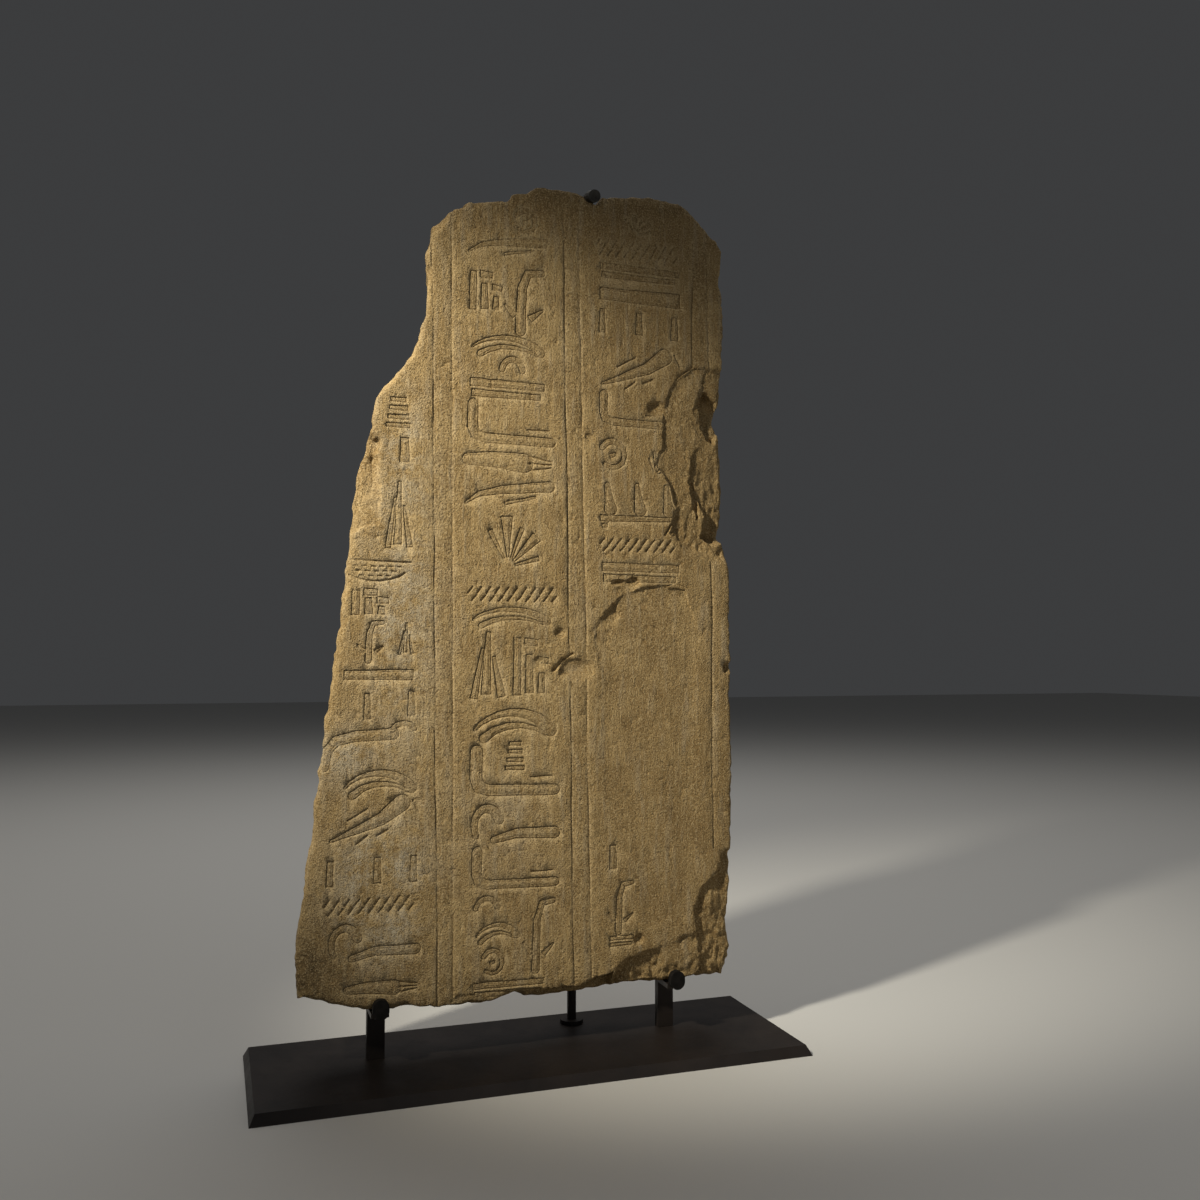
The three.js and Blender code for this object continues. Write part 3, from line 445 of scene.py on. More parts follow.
CENTRE_COLUMN = [
    (curl, 46, 52, 92.8, 96.2), (rise, 36, 53.4, 90, 92.4), (steps, 36.4, 44, 82.6, 88),
    (stalk, 44, 53.4, 80.8, 88.6), (swell, 36, 53.6, 77.8, 80.1), (arch, 43.2, 49, 75.6, 77.6),
    (bars, 36.4, 53.7, 72.2, 74.6), (crook, 36, 55.2, 66.6, 71.4), (fork, 36.1, 55.4, 63, 66),
    (rise, 35.6, 54.8, 59.4, 62.2), (fan, 39, 54, 50.6, 58.4), (slants, 36.2, 56.6, 47.6, 49.4),
    (swell, 36.4, 55.2, 44.9, 47), (sheaf, 37, 44.6, 36, 44), (steps, 46.8, 55, 36, 43.8),
    (swell, 37, 56, 31.6, 34.8), (rungs, 44.8, 49.3, 27.4, 31), (crook, 37, 56.2, 24.3, 29.8),
    (crest, 37, 56.2, 18.8, 23.8), (crook, 37.5, 56.3, 13.4, 18), (arch, 38, 43.8, 11.2, 12.9),
    (stalk, 48.8, 56.3, 3.8, 12.2), (swell, 38, 48, 7.7, 9.7), (curl, 39.4, 45, 3.4, 6.8),
    (bars, 37.8, 53.8, 1, 2.9),
]
RIGHT_COLUMN = [
    (fan, 72, 80.4, 94.2, 97.4), (slants, 65.8, 86.2, 91.4, 93.6), (bars, 66.8, 86.8, 88.6, 90.6),
    (bar, 66.8, 87, 85.6, 87.6), (upright, 66.6, 68.3, 81.6, 84.7), (upright, 75.6, 77.6, 81.7, 84.6),
    (upright, 84.4, 86.5, 81.4, 84.5), (plume, 66.8, 87, 74.6, 80.1), (crook, 66.8, 82.8, 69.8, 73.8),
    (curl, 66.4, 73.6, 64.2, 68.4), (fan, 78, 84, 63.4, 67.2), (pods, 66.8, 86, 57, 62.6),
    (slants, 66.8, 85.4, 54.1, 55.8), (bars, 67.3, 86.6, 50.2, 52.8), (upright, 69, 71, 15, 18),
    (stalk, 68.6, 75, 7.4, 13.6), (bars, 69, 75, 5.6, 7),
]

# Ruled lines: top x, top z, foot x and foot z, in hundredths of the slab's width and height
RULED_LINES = [
    (27.8, 92, 30.2, 0.6), (32, 94.5, 33.6, -0.5), (57.9, 95.6, 61, -0.5), (61.7, 95, 64.9, -0.5),
    (90.1, 94.8, 90, 76.6), (93.6, 95, 94.4, 78.4), (94.7, 53.4, 94.8, 16.8),
]
RULED_PAIRS = [(0, 1), (2, 3), (4, 5)]

# Breaks in the carved face: corners in hundredths, the numbers of two corners that the depth is told
# between, the depths there, how far the edge runs out at the second of them, and the roughness
WORN_AREAS = [
    ([(65.4, 43.4), (69.6, 46.6), (72.4, 48.9), (77, 49.6), (83, 50), (88.4, 49.6), (91.6, 44), (92, 8),
      (76.6, 7), (74, 19), (67.4, 22), (65.8, 30), (67, 40)], 1, 7, (2.3, 1.0), 18, 0),
    ([(63.4, 43.8), (70.1, 47.7), (72.6, 46.4), (70, 43.6), (66.4, 41)], 1, 3, (6.8, 0.9), 7, 0),
    ([(69.4, 49.2), (74.8, 51.1), (77, 50.4), (73, 48.2)], 1, 3, (5.2, 0.5), 4, 0),
    ([(89.6, 78.1), (85.2, 76.1), (83.4, 73.6), (82.6, 71.6), (82.4, 67.7), (80.2, 65.4), (82.6, 64),
      (85.4, 60), (83.3, 56.8), (88, 54.4), (94.6, 53), (104, 53), (104, 78.6)],
     3, 11, (1.5, 6.5), 14, 0.8),
    ([(93.5, 78), (92, 75.4), (89.9, 72.8), (89.9, 70.7), (92.4, 68.6), (89.7, 66.3), (88.4, 63.3),
      (90.7, 61), (92.6, 58), (91.4, 56), (94.8, 54.6), (104, 55), (104, 78.4)],
     4, 11, (3.6, 20), 18, 1.4),
    ([(97.6, 16.4), (95.7, 13.4), (91.5, 11.8), (90.2, 9.1), (90.5, 6.5), (91, 4), (90, -2),
      (104, -2), (104, 17)], 3, 7, (5, 3), 9, 1.9),
    ([(68, 1.6), (73.5, 4.4), (81.8, 5.2), (87, 6.2), (91.4, 6.4), (91, -2), (66, -2)],
     2, 6, (0.7, 11), 20, 2.0),
    ([(33, 1.6), (47, 1.9), (62, 1.5), (70, 2.6), (70, -2), (33, -2)], 1, 4, (0.8, 22), 3, 0.5),
    ([(14, 67.6), (17, 66.4), (17.2, 56.4), (11, 55), (9, 60)], 2, 4, (1, 7), 5, 0.8),
    ([(26.4, 88.2), (28.6, 91.6), (32, 94.2), (36, 95.4), (38, 99), (24, 99), (23, 88)],
     1, 5, (0.6, 45), 6, 0.5),
    ([(91.4, 73.2), (93, 75), (96.6, 74.2), (98.6, 70.8), (96, 68), (93.4, 68.6), (91.8, 70.4)],
     1, 4, (17, 9), 6, 0.8),
    ([(89.3, 62.6), (90.4, 63.6), (92.4, 61.4), (92.8, 58.6), (91.2, 58)], 1, 3, (13, 8), 4, 0.7),
]

# Round pits: across and up in hundredths, then half width, half height and depth
PITS = [
    (61.1, 39.4, 24, 16, 5.4), (57.4, 43.9, 8, 7, 3.5), (52.6, 40.2, 9, 9, 2.4), (81.2, 72.4, 15, 11, 5),
    (76.2, 6.3, 7, 8, 5), (98.8, 39.6, 8, 8, 6), (64.4, 68.2, 7, 6, 2), (27.2, 86.4, 5, 14, 4),
    (71.8, 50.2, 14, 5, 4), (69, 43.9, 8, 8, 3),
]

# Narrow clefts: points in hundredths, then width and depth
CLEFTS = [
    ([(90, 78.3), (86, 76.6), (83.9, 73.8), (82.9, 71.6), (82.8, 67.7), (80.6, 65.2)], 5, 3.6),
    ([(85.8, 59.4), (84.6, 57.8), (83, 56.4)], 6, 4),
    ([(77, 49.4), (82, 49.8), (85.5, 50.3), (88.6, 49.7)], 2.6, 1.8),
    ([(73, 48), (76, 47.6), (78, 49)], 2.6, 1.6),
    ([(86.6, 44.4), (89, 43.4), (91.4, 43.4), (93.1, 44.6)], 2.6, 1.4),
    ([(56, 39.4), (57.8, 40.6), (60.4, 41.4)], 7.5, 5.5),
]


def inside_stroke(x, z, line, start_wide, end_wide):
    """How far each point lies inside a band along a line, negative outside it.

    A band with one straight piece has square ends, and any other has round ones.
    """
    points = np.array(line, float)
    pieces = len(points) - 1
    best = np.full(x.shape, -1e9)
    for piece in range(pieces):
        ax, az = points[piece]
        bx, bz = points[piece + 1] - points[piece]
        length = math.hypot(bx, bz)
        reached = ((x - ax) * bx + (z - az) * bz) / length
        share = np.clip(reached / length, 0, 1)
        half = (start_wide + (end_wide - start_wide) * (piece + share) / pieces) / 2
        if pieces == 1:
            away = np.abs((x - ax) * bz - (z - az) * bx) / length
            inside = np.minimum(half - away, np.minimum(reached, length - reached))
        else:
            inside = half - np.hypot(x - ax - share * bx, z - az - share * bz)
        best = np.maximum(best, inside)
    return best


def sunk_profile(inside, deepest, floor_share):
    """Depth of sunk carving: a sheer wall, deepest beside it, and a floor that swells back up."""
    wall = ease(-0.25, 0.65, inside)
    swollen = floor_share + (1 - floor_share) * np.exp(-np.clip(inside - 0.7, 0, None) / 0.8)
    inner_line = 0.32 * np.exp(-((inside - 3.2) / 0.6) ** 2)
    return deepest * (wall * swollen + inner_line)


def near(x, z, x0, x1, z0, z1, margin):
    return np.nonzero((x > x0 - margin) & (x < x1 + margin) & (z > z0 - margin) & (z < z1 + margin))


def carve_columns(x, z):
    """Depth of all the strokes."""
    depth = np.zeros_like(x)
    wobble_x = 0.4 * noise(x, z, 14, 14, 61)
    wobble_z = 0.4 * noise(x, z, 14, 14, 62)
    for column in (LEFT_COLUMN, CENTRE_COLUMN, RIGHT_COLUMN):
        for group, left, right, bottom, top in column:
            x0, x1 = slab_x(left), slab_x(right)
            z0, z1 = slab_z(bottom), slab_z(top)
            here = near(x, z, x0, x1, z0, z1, 8)
            px = x[here] - x0 + wobble_x[here]
            pz = z[here] - z0 + wobble_z[here]
            broad = np.full(px.shape, -1e9)
            found = np.zeros(px.shape)
            for line, start_wide, end_wide in group(x1 - x0, z1 - z0):
                inside = inside_stroke(px, pz, line, start_wide, end_wide)
                if max(start_wide, end_wide) > 1.6 * THIN:
                    broad = np.maximum(broad, inside)
                else:
                    found = np.maximum(found, sunk_profile(inside, STROKE_DEPTH * 0.8, 0.9))
            found = np.maximum(found, sunk_profile(broad, STROKE_DEPTH, 0.16))
            depth[here] = np.maximum(depth[here], found)
    return depth


def ruled_x(line, z):
    """Where a ruled line is at each height, with the wander of a hand cut."""
    top_x, top_z, foot_x, foot_z = line
    share = (slab_z(top_z) - z) / (slab_z(top_z) - slab_z(foot_z))
    straight = slab_x(top_x) + (slab_x(foot_x) - slab_x(top_x)) * share
    return straight + 0.9 * noise(z, 0 * z, 90, 1, int(top_x)) + 0.35 * noise(z, 0 * z, 17, 1, int(foot_x))


def rule_lines(x, z):
    """Depth of the ruled lines and of the narrow panels between the lines of a pair."""
    depth = np.zeros_like(x)
    for first, second in RULED_PAIRS:
        left, right = RULED_LINES[first], RULED_LINES[second]
        inside = np.minimum(x - ruled_x(left, z), ruled_x(right, z) - x)
        top = slab_z(min(left[1], right[1]))
        foot = slab_z(max(left[3], right[3]))
        ends = ease(foot - 3, foot + 3, z) * ease(top + 3, top - 3, z)
        panel = 0.95 * ease(-0.2, 0.6, inside) * (0.3 + 0.7 * np.exp(-np.clip(inside, 0, None) / 4.5))
        depth = np.maximum(depth, panel * ends)
    for number, line in enumerate(RULED_LINES):
        away = np.abs(x - ruled_x(line, z))
        wear = 0.78 + 0.3 * noise(z, 0 * z, 38, 1, 71 + number) + 0.12 * noise(z, 0 * z, 7, 1, 81 + number)
        half = LINE_WIDE / 2 * (0.9 + 0.25 * wear)
        groove = LINE_DEPTH * wear * np.clip(1 - away / half, 0, None) ** 0.8
        top, foot = slab_z(line[1]), slab_z(line[3])
        ends = ease(foot - 2, foot + 2, z) * ease(top + 2, top - 4, z)
        depth = np.maximum(depth, groove * ends)
    return depth


def inside_polygon(x, z, corners):
    """Distance inside a closed outline, negative outside it."""
    points = np.array([(slab_x(across), slab_z(up)) for across, up in corners])
    nearest = np.full(x.shape, 1e9)
    crossings = np.zeros(x.shape, int)
    for (ax, az), (bx, bz) in zip(points, np.roll(points, -1, 0)):
        dx, dz = bx - ax, bz - az
        share = np.clip(((x - ax) * dx + (z - az) * dz) / (dx * dx + dz * dz), 0, 1)
        nearest = np.minimum(nearest, np.hypot(x - ax - share * dx, z - az - share * dz))
        if dz != 0:
            crosses = ((az > z) != (bz > z)) & (x < dx * (z - az) / dz + ax)
            crossings += crosses
    return np.where(crossings % 2 == 1, nearest, -nearest)


def break_areas(x, z):
    """Depth of the broken and worn places."""
    depth = np.zeros_like(x)
    for number, (corners, start, end, depths, fade, rough) in enumerate(WORN_AREAS):
        xs = [slab_x(across) for across, _ in corners]
        zs = [slab_z(up) for _, up in corners]
        here = near(x, z, min(xs), max(xs), min(zs), max(zs), 14)
        px, pz = x[here], z[here]
        ragged_x = px + 4 * layered(px, pz, 26, 26, 200 + number) + 1.2 * noise(px, pz, 4, 4, 220 + number)
        ragged_z = pz + 4 * layered(px, pz, 26, 26, 210 + number) + 1.2 * noise(px, pz, 4, 4, 230 + number)
        inside = inside_polygon(ragged_x, ragged_z, corners)
        ax, az = xs[start], zs[start]
        dx, dz = xs[end] - ax, zs[end] - az
        share = np.clip(((px - ax) * dx + (pz - az) * dz) / (dx * dx + dz * dz), 0, 1)
        floor = depths[0] + (depths[1] - depths[0]) * share
        if rough:
            ridges = 1 - 2 * np.abs(layered(px, pz, 17, 44, 240 + number))
            lumps = 1 - 2 * np.abs(layered(px, pz, 24, 20, 250 + number))
            creases = noise(px, pz, 14, 22, 260 + number, True)
            crumbs = noise(px, pz, 5, 6, 270 + number, True)
            crumbled = ((0.7 + 2.6 * share) * ridges + (0.4 + 2.2 * share) * lumps
                        + 1.5 * creases + 0.6 * crumbs)
            floor = floor + rough * crumbled
            floor = np.clip(floor, 0.7, None)
            edge = ease(-0.8, 1.6 + fade * share, inside)
        else:
            floor = floor + 0.5 * layered(px, pz, 34, 60, 240 + number)
            floor = floor + 0.14 * layered(px, pz, 7, 10, 250 + number)
            soft = ease(0, 0.25, share)
            edge = ease(-0.8, 1.8, inside) * (1 - soft) + ease(-2, fade, inside) * soft
        depth[here] = np.maximum(depth[here], floor * edge)
    return depth


def dig_pits(x, z):
    """Depth of the round pits: smooth bowls that are deepest towards their upper left."""
    depth = np.zeros_like(x)
    for number, (across, up, half_wide, half_tall, deep) in enumerate(PITS):
        cx, cz = slab_x(across), slab_z(up)
        here = near(x, z, cx - half_wide, cx + half_wide, cz - half_tall, cz + half_tall, 8)
        px = (x[here] - cx) / half_wide
        pz = (z[here] - cz) / half_tall
        ragged = 0.16 * layered(x[here], z[here], 11, 11, 300 + number)
        slope = (px - pz) / 2
        radius = np.hypot(px, pz) + ragged
        bowl = np.clip(1 - radius ** 2, 0, None) ** 0.75 * (1 - 0.55 * slope)
        bowl = bowl * (1 + 0.08 * layered(x[here], z[here], 6, 6, 320 + number))
        depth[here] = np.maximum(depth[here], deep * np.clip(bowl, 0, None))
    return depth


def open_clefts(x, z):
    """Depth of the narrow clefts beside raised flakes."""
    depth = np.zeros_like(x)
    for number, (corners, wide, deep) in enumerate(CLEFTS):
        line = [(slab_x(across), slab_z(up)) for across, up in corners]
        xs, zs = zip(*line)
        here = near(x, z, min(xs), max(xs), min(zs), max(zs), 10)
        px = x[here] + 1.6 * layered(x[here], z[here], 12, 12, 340 + number)
        pz = z[here] + 1.6 * layered(x[here], z[here], 12, 12, 350 + number)
        inside = inside_stroke(px, pz, line, wide, wide * 0.7)
        shade = deep * ease(0, wide * 0.4, inside) * (0.8 + 0.3 * noise(px, pz, 9, 9, 360 + number))
        depth[here] = np.maximum(depth[here], shade)
    return depth


def carving_at(x, z):
    """Depth of all the carving: strokes and ruled lines."""
    return np.maximum(carve_columns(x, z), rule_lines(x, z))


def face_depth(x, z, edge):
    """Depth of the carved face below its plane, never above it."""
    dressed = 0.6 * (layered(x, z, 130, 170, 1) + 1) * 0.5
    tool_marks = 0.17 * (noise(x, z, 9, 110, 2) + 1) + 0.08 * (noise(x, z, 4.6, 60, 3) + 1)
    grain = 0.05 * (layered(x, z, 6, 8, 4, 2) + 1)
    specks = np.clip(noise(x, z, 4.2, 4.2, 5) - 0.74, 0, None) * 2.8
    carving = carving_at(x, z)
    top_wear = ease(slab_z(95.5), slab_z(87), z)
    left_scar = spread(x, z, 11, 58, 26, 90)
    carving *= (0.42 + 0.58 * top_wear) * (1 - 0.75 * left_scar)
    carving *= 0.88 + 0.22 * noise(x, z, 60, 60, 6)
    scarred = left_scar + 0.8 * ease(slab_z(92), slab_z(98), z)
    scars = 1.3 * np.clip(layered(x, z, 16, 22, 8) - 0.1, 0, None) * scarred
    broken = np.maximum(np.maximum(break_areas(x, z), dig_pits(x, z)), open_clefts(x, z))
    whole = ease(2.4, 0.8, broken)
    arris = (1.2 + 0.9 * noise(x, z, 11, 11, 7)) * np.exp(-(edge / 2.2) ** 2)
    worn_corner = 1.2 * (0.5 + 0.5 * layered(x, z, 22, 22, 9)) * np.exp(-(edge / 7) ** 2)
    return (dressed + grain + specks + tool_marks * (0.3 + 0.7 * whole) + scars
            + np.maximum(carving * whole, broken) + arris + worn_corner)


# Meshes

class MeshMaker:
    """Collects points and faces, and makes one object of them."""

    def __init__(self):
        self.points = []
        self.count = 0
        self.faces = []

    def add_points(self, points):
        start = self.count
        self.points.append(np.asarray(points, float))
        self.count += len(points)
        return np.arange(start, self.count)

    def make(self, name):
        mesh = bpy.data.meshes.new(name)
        points = np.concatenate(self.points) * MM
        mesh.from_pydata(points.tolist(), [], self.faces)
        mesh.validate()
        mesh.shade_smooth()
        made = bpy.data.objects.new(name, mesh)
        bpy.context.scene.collection.objects.link(made)
        return made


def block_error(height, size):
    """For each block of size cells, the largest distance of the surface from its flat patch."""
    rows = (height.shape[0] - 1) // size
    columns = (height.shape[1] - 1) // size
    corner = height[::size, ::size]
    worst = np.zeros((rows, columns))
    for down in range(size + 1):
        v = down / size
        for over in range(size + 1):
            u = over / size
            patch = ((corner[:-1, :-1] * (1 - u) + corner[:-1, 1:] * u) * (1 - v)
                     + (corner[1:, :-1] * (1 - u) + corner[1:, 1:] * u) * v)
            actual = height[down:down + rows * size:size, over:over + columns * size:size]
            worst = np.maximum(worst, np.abs(actual - patch))
    return worst


def leaves_of(height, tolerance):
    """Splits the blocks until each is flat enough, and gives (size, rows, columns) of the cells kept."""
    active = np.ones((UP // BLOCK, ACROSS // BLOCK), bool)
    kept = []
    size = BLOCK
    while True:
        if size == 1:
            kept.append((size, *np.nonzero(active)))
            return kept
        split = block_error(height, size) > tolerance
        if size > EDGE_CELLS:
            split[0] = split[-1] = True
            split[:, 0] = split[:, -1] = True
        wanted = active & split
        kept.append((size, *np.nonzero(active & ~split)))
        active = np.kron(wanted, np.ones((2, 2), bool))
        size //= 2


def add_face(maker, points, tolerance, outward):
    """Adds a grid as cells of fitting size and gives the indices of its points, -1 where unused."""
    height = points[..., 1]
    kept = leaves_of(height, tolerance)
    used = np.zeros(height.shape, bool)
    for size, rows, columns in kept:
        for down in (0, size):
            for over in (0, size):
                used[rows * size + down, columns * size + over] = True
    plain = []
    fanned = []
    for size, rows, columns in kept:
        for row, column in zip((rows * size).tolist(), (columns * size).tolist()):
            if size == 1:
                plain.append((row, column, size))
                continue
            inner_rows = slice(row + 1, row + size)
            inner_columns = slice(column + 1, column + size)
            crowded = (used[row, inner_columns].any() or used[row + size, inner_columns].any()
                       or used[inner_rows, column].any() or used[inner_rows, column + size].any())
            (fanned if crowded else plain).append((row, column, size))
    for row, column, size in fanned:
        used[row + size // 2, column + size // 2] = True
    index = np.full(height.shape, -1)
    index[used] = maker.add_points(points[used])
    faces = maker.faces
    for row, column, size in plain:
        a, b = index[row, column], index[row, column + size]
        c, d = index[row + size, column + size], index[row + size, column]
        faces.append((a, b, c, d) if outward else (a, d, c, b))
    for row, column, size in fanned:
        ring = [index[row, column + k] for k in range(size)]
        ring += [index[row + k, column + size] for k in range(size)]
        ring += [index[row + size, column + size - k] for k in range(size)]
        ring += [index[row + size - k, column] for k in range(size)]
        ring = [point for point in ring if point >= 0]
        centre = index[row + size // 2, column + size // 2]
        for one, two in zip(ring, ring[1:] + ring[:1]):
            faces.append((one, two, centre) if outward else (two, one, centre))
    return index


def ring_indices(index):
    """The points of a grid's border in the order of the outline."""
    top = index[-1, :-1]
    right = index[1:, -1][::-1]
    foot = index[0, 1:][::-1]
    left = index[:-1, 0]
    return np.concatenate([top, right, foot, left])


def zip_rings(maker, fine, coarse, outward):
    """Joins a border, some of whose points may be unused, to a ring with a point at every EDGE_CELLS."""
    count = len(coarse)
    for number in range(count):
        start = number * EDGE_CELLS
        stretch = [fine[(start + k) % len(fine)] for k in range(EDGE_CELLS + 1)]
        stretch = [point for point in stretch if point >= 0]
        here, there = coarse[number], coarse[(number + 1) % count]
        middle = len(stretch) // 2
        for one, two in zip(stretch[:middle], stretch[1:middle + 1]):
            maker.faces.append((one, two, here) if outward else (two, one, here))
        maker.faces.append((stretch[middle], there, here) if outward else (there, stretch[middle], here))
        for one, two in zip(stretch[middle:-1], stretch[middle + 1:]):
            maker.faces.append((one, two, there) if outward else (two, one, there))


def edge_distance():
    """Rough distance of each grid point from the border."""
    rows = np.arange(UP + 1)
    columns = np.arange(ACROSS + 1)
    up = np.minimum(rows, UP - rows)[:, None] * SLAB_TALL / UP
    over = np.minimum(columns, ACROSS - columns)[None] * 0.85 * SLAB_WIDE / ACROSS
    return np.minimum(up, over)


def build_slab():
    outline = whole_outline()
    count = len(outline)
    steps_along = np.hypot(*(np.roll(outline, -1, 0) - outline).T)
    along = np.concatenate([[0], np.cumsum(steps_along)[:-1]])
    inward = inward_of(outline)
    at_notch = np.exp(-((outline[:, 0] - slab_x(NOTCH_AT)) / 14) ** 2) * (outline[:, 1] > slab_z(96))
    inset = share_of_sides(FACE_INSET)
    inset *= 1 + 0.5 * noise(along, 0 * along, 42, 1, 31) + 0.3 * layered(along, 0 * along, 13, 1, 32)
    inset = np.clip(inset, 1.2, None) * (1 - 0.75 * at_notch)
    lean = share_of_sides(SIDE_LEAN)
    run = share_of_sides(EDGE_RUN) * (1 + 0.4 * noise(along, 0 * along, 50, 1, 33))
    run = run * (1 - 0.6 * at_notch)
    front_ring = outline + inward * inset[:, None]

    maker = MeshMaker()
    flat = fill_grid(front_ring)
    depth = face_depth(flat[..., 0], flat[..., 1], edge_distance())
    face = np.stack([flat[..., 0], SLAB_FRONT + depth, flat[..., 1]], -1)
    face_index = add_face(maker, face, FACE_TOLERANCE, True)
    fine = ring_indices(face_index)
    border_depth = ring_indices(depth)

    coarse = slice(0, count, EDGE_CELLS)
    seat_limit = slab_z(SEAT)
    previous = fine
    levels = [(0.3, 0.0), (0.62, 0.0), (1.0, 0.0)]
    levels += [(1.0, (step + 1) / SIDE_STEPS) for step in range(SIDE_STEPS)]
    at_seat = on_seats(outline[:, 0]) & (outline[:, 1] < slab_z(5))
    start = SLAB_FRONT + border_depth
    bevel_end = SLAB_FRONT + np.maximum(run, border_depth + 2)
    for bevel_share, side_share in levels:
        y = start + (bevel_end - start) * bevel_share
        y = y + (SLAB_BACK - BACK_BEVEL - bevel_end) * side_share
        out = inset * (1 - bevel_share) ** 1.3
        rough = 2.0 * noise(along, y, 26, 30, 41, True) + 1.2 * noise(along, y, 9, 12, 42, True)
        out = out + np.clip(rough + 0.7, 0, None) * min(1.0, bevel_share + side_share)
        out = out + lean * side_share
        ring = outline + inward * out[:, None]
        if bevel_share == 1.0:
            ring[:, 1] = np.where(at_seat, np.maximum(seat_limit, ring[:, 1]), ring[:, 1])
        points = np.stack([ring[:, 0], y, ring[:, 1]], 1)[coarse]
        indices = maker.add_points(points)
        if previous is fine:
            zip_rings(maker, previous, indices, True)
        else:
            join_rings(maker, previous, indices)
        previous = indices

    back_inset = lean + BACK_BEVEL * 0.6 + 1.5 * layered(along, 0 * along, 30, 1, 51)
    back_ring = outline + inward * back_inset[:, None]
    flat = fill_grid(back_ring)
    dressing = 0.9 + 0.8 * layered(flat[..., 0], flat[..., 1], 60, 45, 52, 3)
    edge = edge_distance()
    dressing = dressing * ease(0, 25, edge) * 1.4
    back = np.stack([flat[..., 0], SLAB_BACK - np.clip(dressing, 0, None), flat[..., 1]], -1)
    back_index = add_face(maker, back, BACK_TOLERANCE, False)
    zip_rings(maker, ring_indices(back_index), previous, False)
    return thin_out(maker.make("carved_slab"))


def thin_out(made):
    """Merges the flattest triangles until TRIANGLES are left, and keeps them in the solid's box."""
    count = sum(len(polygon.vertices) - 2 for polygon in made.data.polygons)
    merge = made.modifiers.new("merge", "DECIMATE")
    merge.ratio = TRIANGLES / count
    evaluated = made.evaluated_get(bpy.context.evaluated_depsgraph_get())
    mesh = bpy.data.meshes.new_from_object(evaluated)
    made.modifiers.clear()
    made.data = mesh
    points = np.empty(len(mesh.vertices) * 3)
    mesh.vertices.foreach_get("co", points)
    points = np.clip(points.reshape(-1, 3), SLAB_LOW * MM, SLAB_HIGH * MM)
    mesh.vertices.foreach_set("co", points.ravel())
    mesh.shade_smooth()
    return made


def join_rings(maker, front, back):
    following = np.roll(front, -1)
    following_back = np.roll(back, -1)
    maker.faces.extend(zip(front.tolist(), following.tolist(), following_back.tolist(), back.tolist()))


# Materials

class Nodes:
    """Short calls for building a material's node tree."""

    def __init__(self, name):
        self.material = bpy.data.materials.new(name)
        self.material.use_nodes = True
        self.tree = self.material.node_tree
        self.shader = self.tree.nodes["Principled BSDF"]
        self.place = self.tree.nodes.new("ShaderNodeTexCoord").outputs["Object"]

    def put(self, socket, value):
        if isinstance(value, bpy.types.NodeSocket):
            self.tree.links.new(value, socket)
        else:
            socket.default_value = value

    def add(self, kind, values):
        """A new node with its inputs set or linked."""
        node = self.tree.nodes.new(kind)
        for name, value in values.items():
            self.put(node.inputs[name], value)
        return node

    def scaled(self, scale):
        return self.add("ShaderNodeMapping", {"Vector": self.place, "Scale": scale}).outputs["Vector"]

    def noise(self, scale, detail=3.0, roughness=0.5, vector=None):
        values = {"Vector": vector or self.place, "Scale": scale, "Detail": detail, "Roughness": roughness}
        return self.add("ShaderNodeTexNoise", values).outputs["Fac"]

    def attribute(self, name):
        node = self.tree.nodes.new("ShaderNodeAttribute")
        node.attribute_name = name
        return node.outputs["Fac"]

    def math(self, operation, first, second=0.0):
        node = self.add("ShaderNodeMath", {0: first, 1: second})
        node.operation = operation
        return node.outputs[0]

    def span(self, value, low, high, to_low=0.0, to_high=1.0):
        values = {"Value": value, "From Min": low, "From Max": high, "To Min": to_low, "To Max": to_high}
        return self.add("ShaderNodeMapRange", values).outputs["Result"]

    def mix(self, share, first, second):
        node = self.tree.nodes.new("ShaderNodeMix")
        node.data_type = "RGBA"
        self.put(node.inputs["Factor"], share)
        self.put(node.inputs["A"], first)
        self.put(node.inputs["B"], second)
        return node.outputs["Result"]

    def bump(self, height, strength, distance, normal=None):
        values = {"Strength": strength, "Distance": distance, "Height": height}
        if normal is not None:
            values["Normal"] = normal
        return self.add("ShaderNodeBump", values).outputs["Normal"]


STONE_TAN = (0.42, 0.286, 0.122, 1)
STONE_PALE = (0.54, 0.383, 0.176, 1)
STONE_BROWN = (0.24, 0.15, 0.057, 1)
PLASTER = (0.57, 0.5, 0.37, 1)
# The dirt colour, also used as the painted shade inside the carved strokes
DIRT_AND_SHADE = (0.11, 0.077, 0.04, 1)
# The lime colour, also used as the painted highlight beside the strokes
LIME_AND_HIGHLIGHT = (0.59, 0.45, 0.245, 1)
# Heights of the stone's bumps, in metres
GRAIN_BUMP = 0.0016
SPECKLE_BUMP = 0.0013
LUMP_BUMP = 0.0007
FINE_STREAK_BUMP = 0.0006
WIDE_STREAK_BUMP = 0.0012


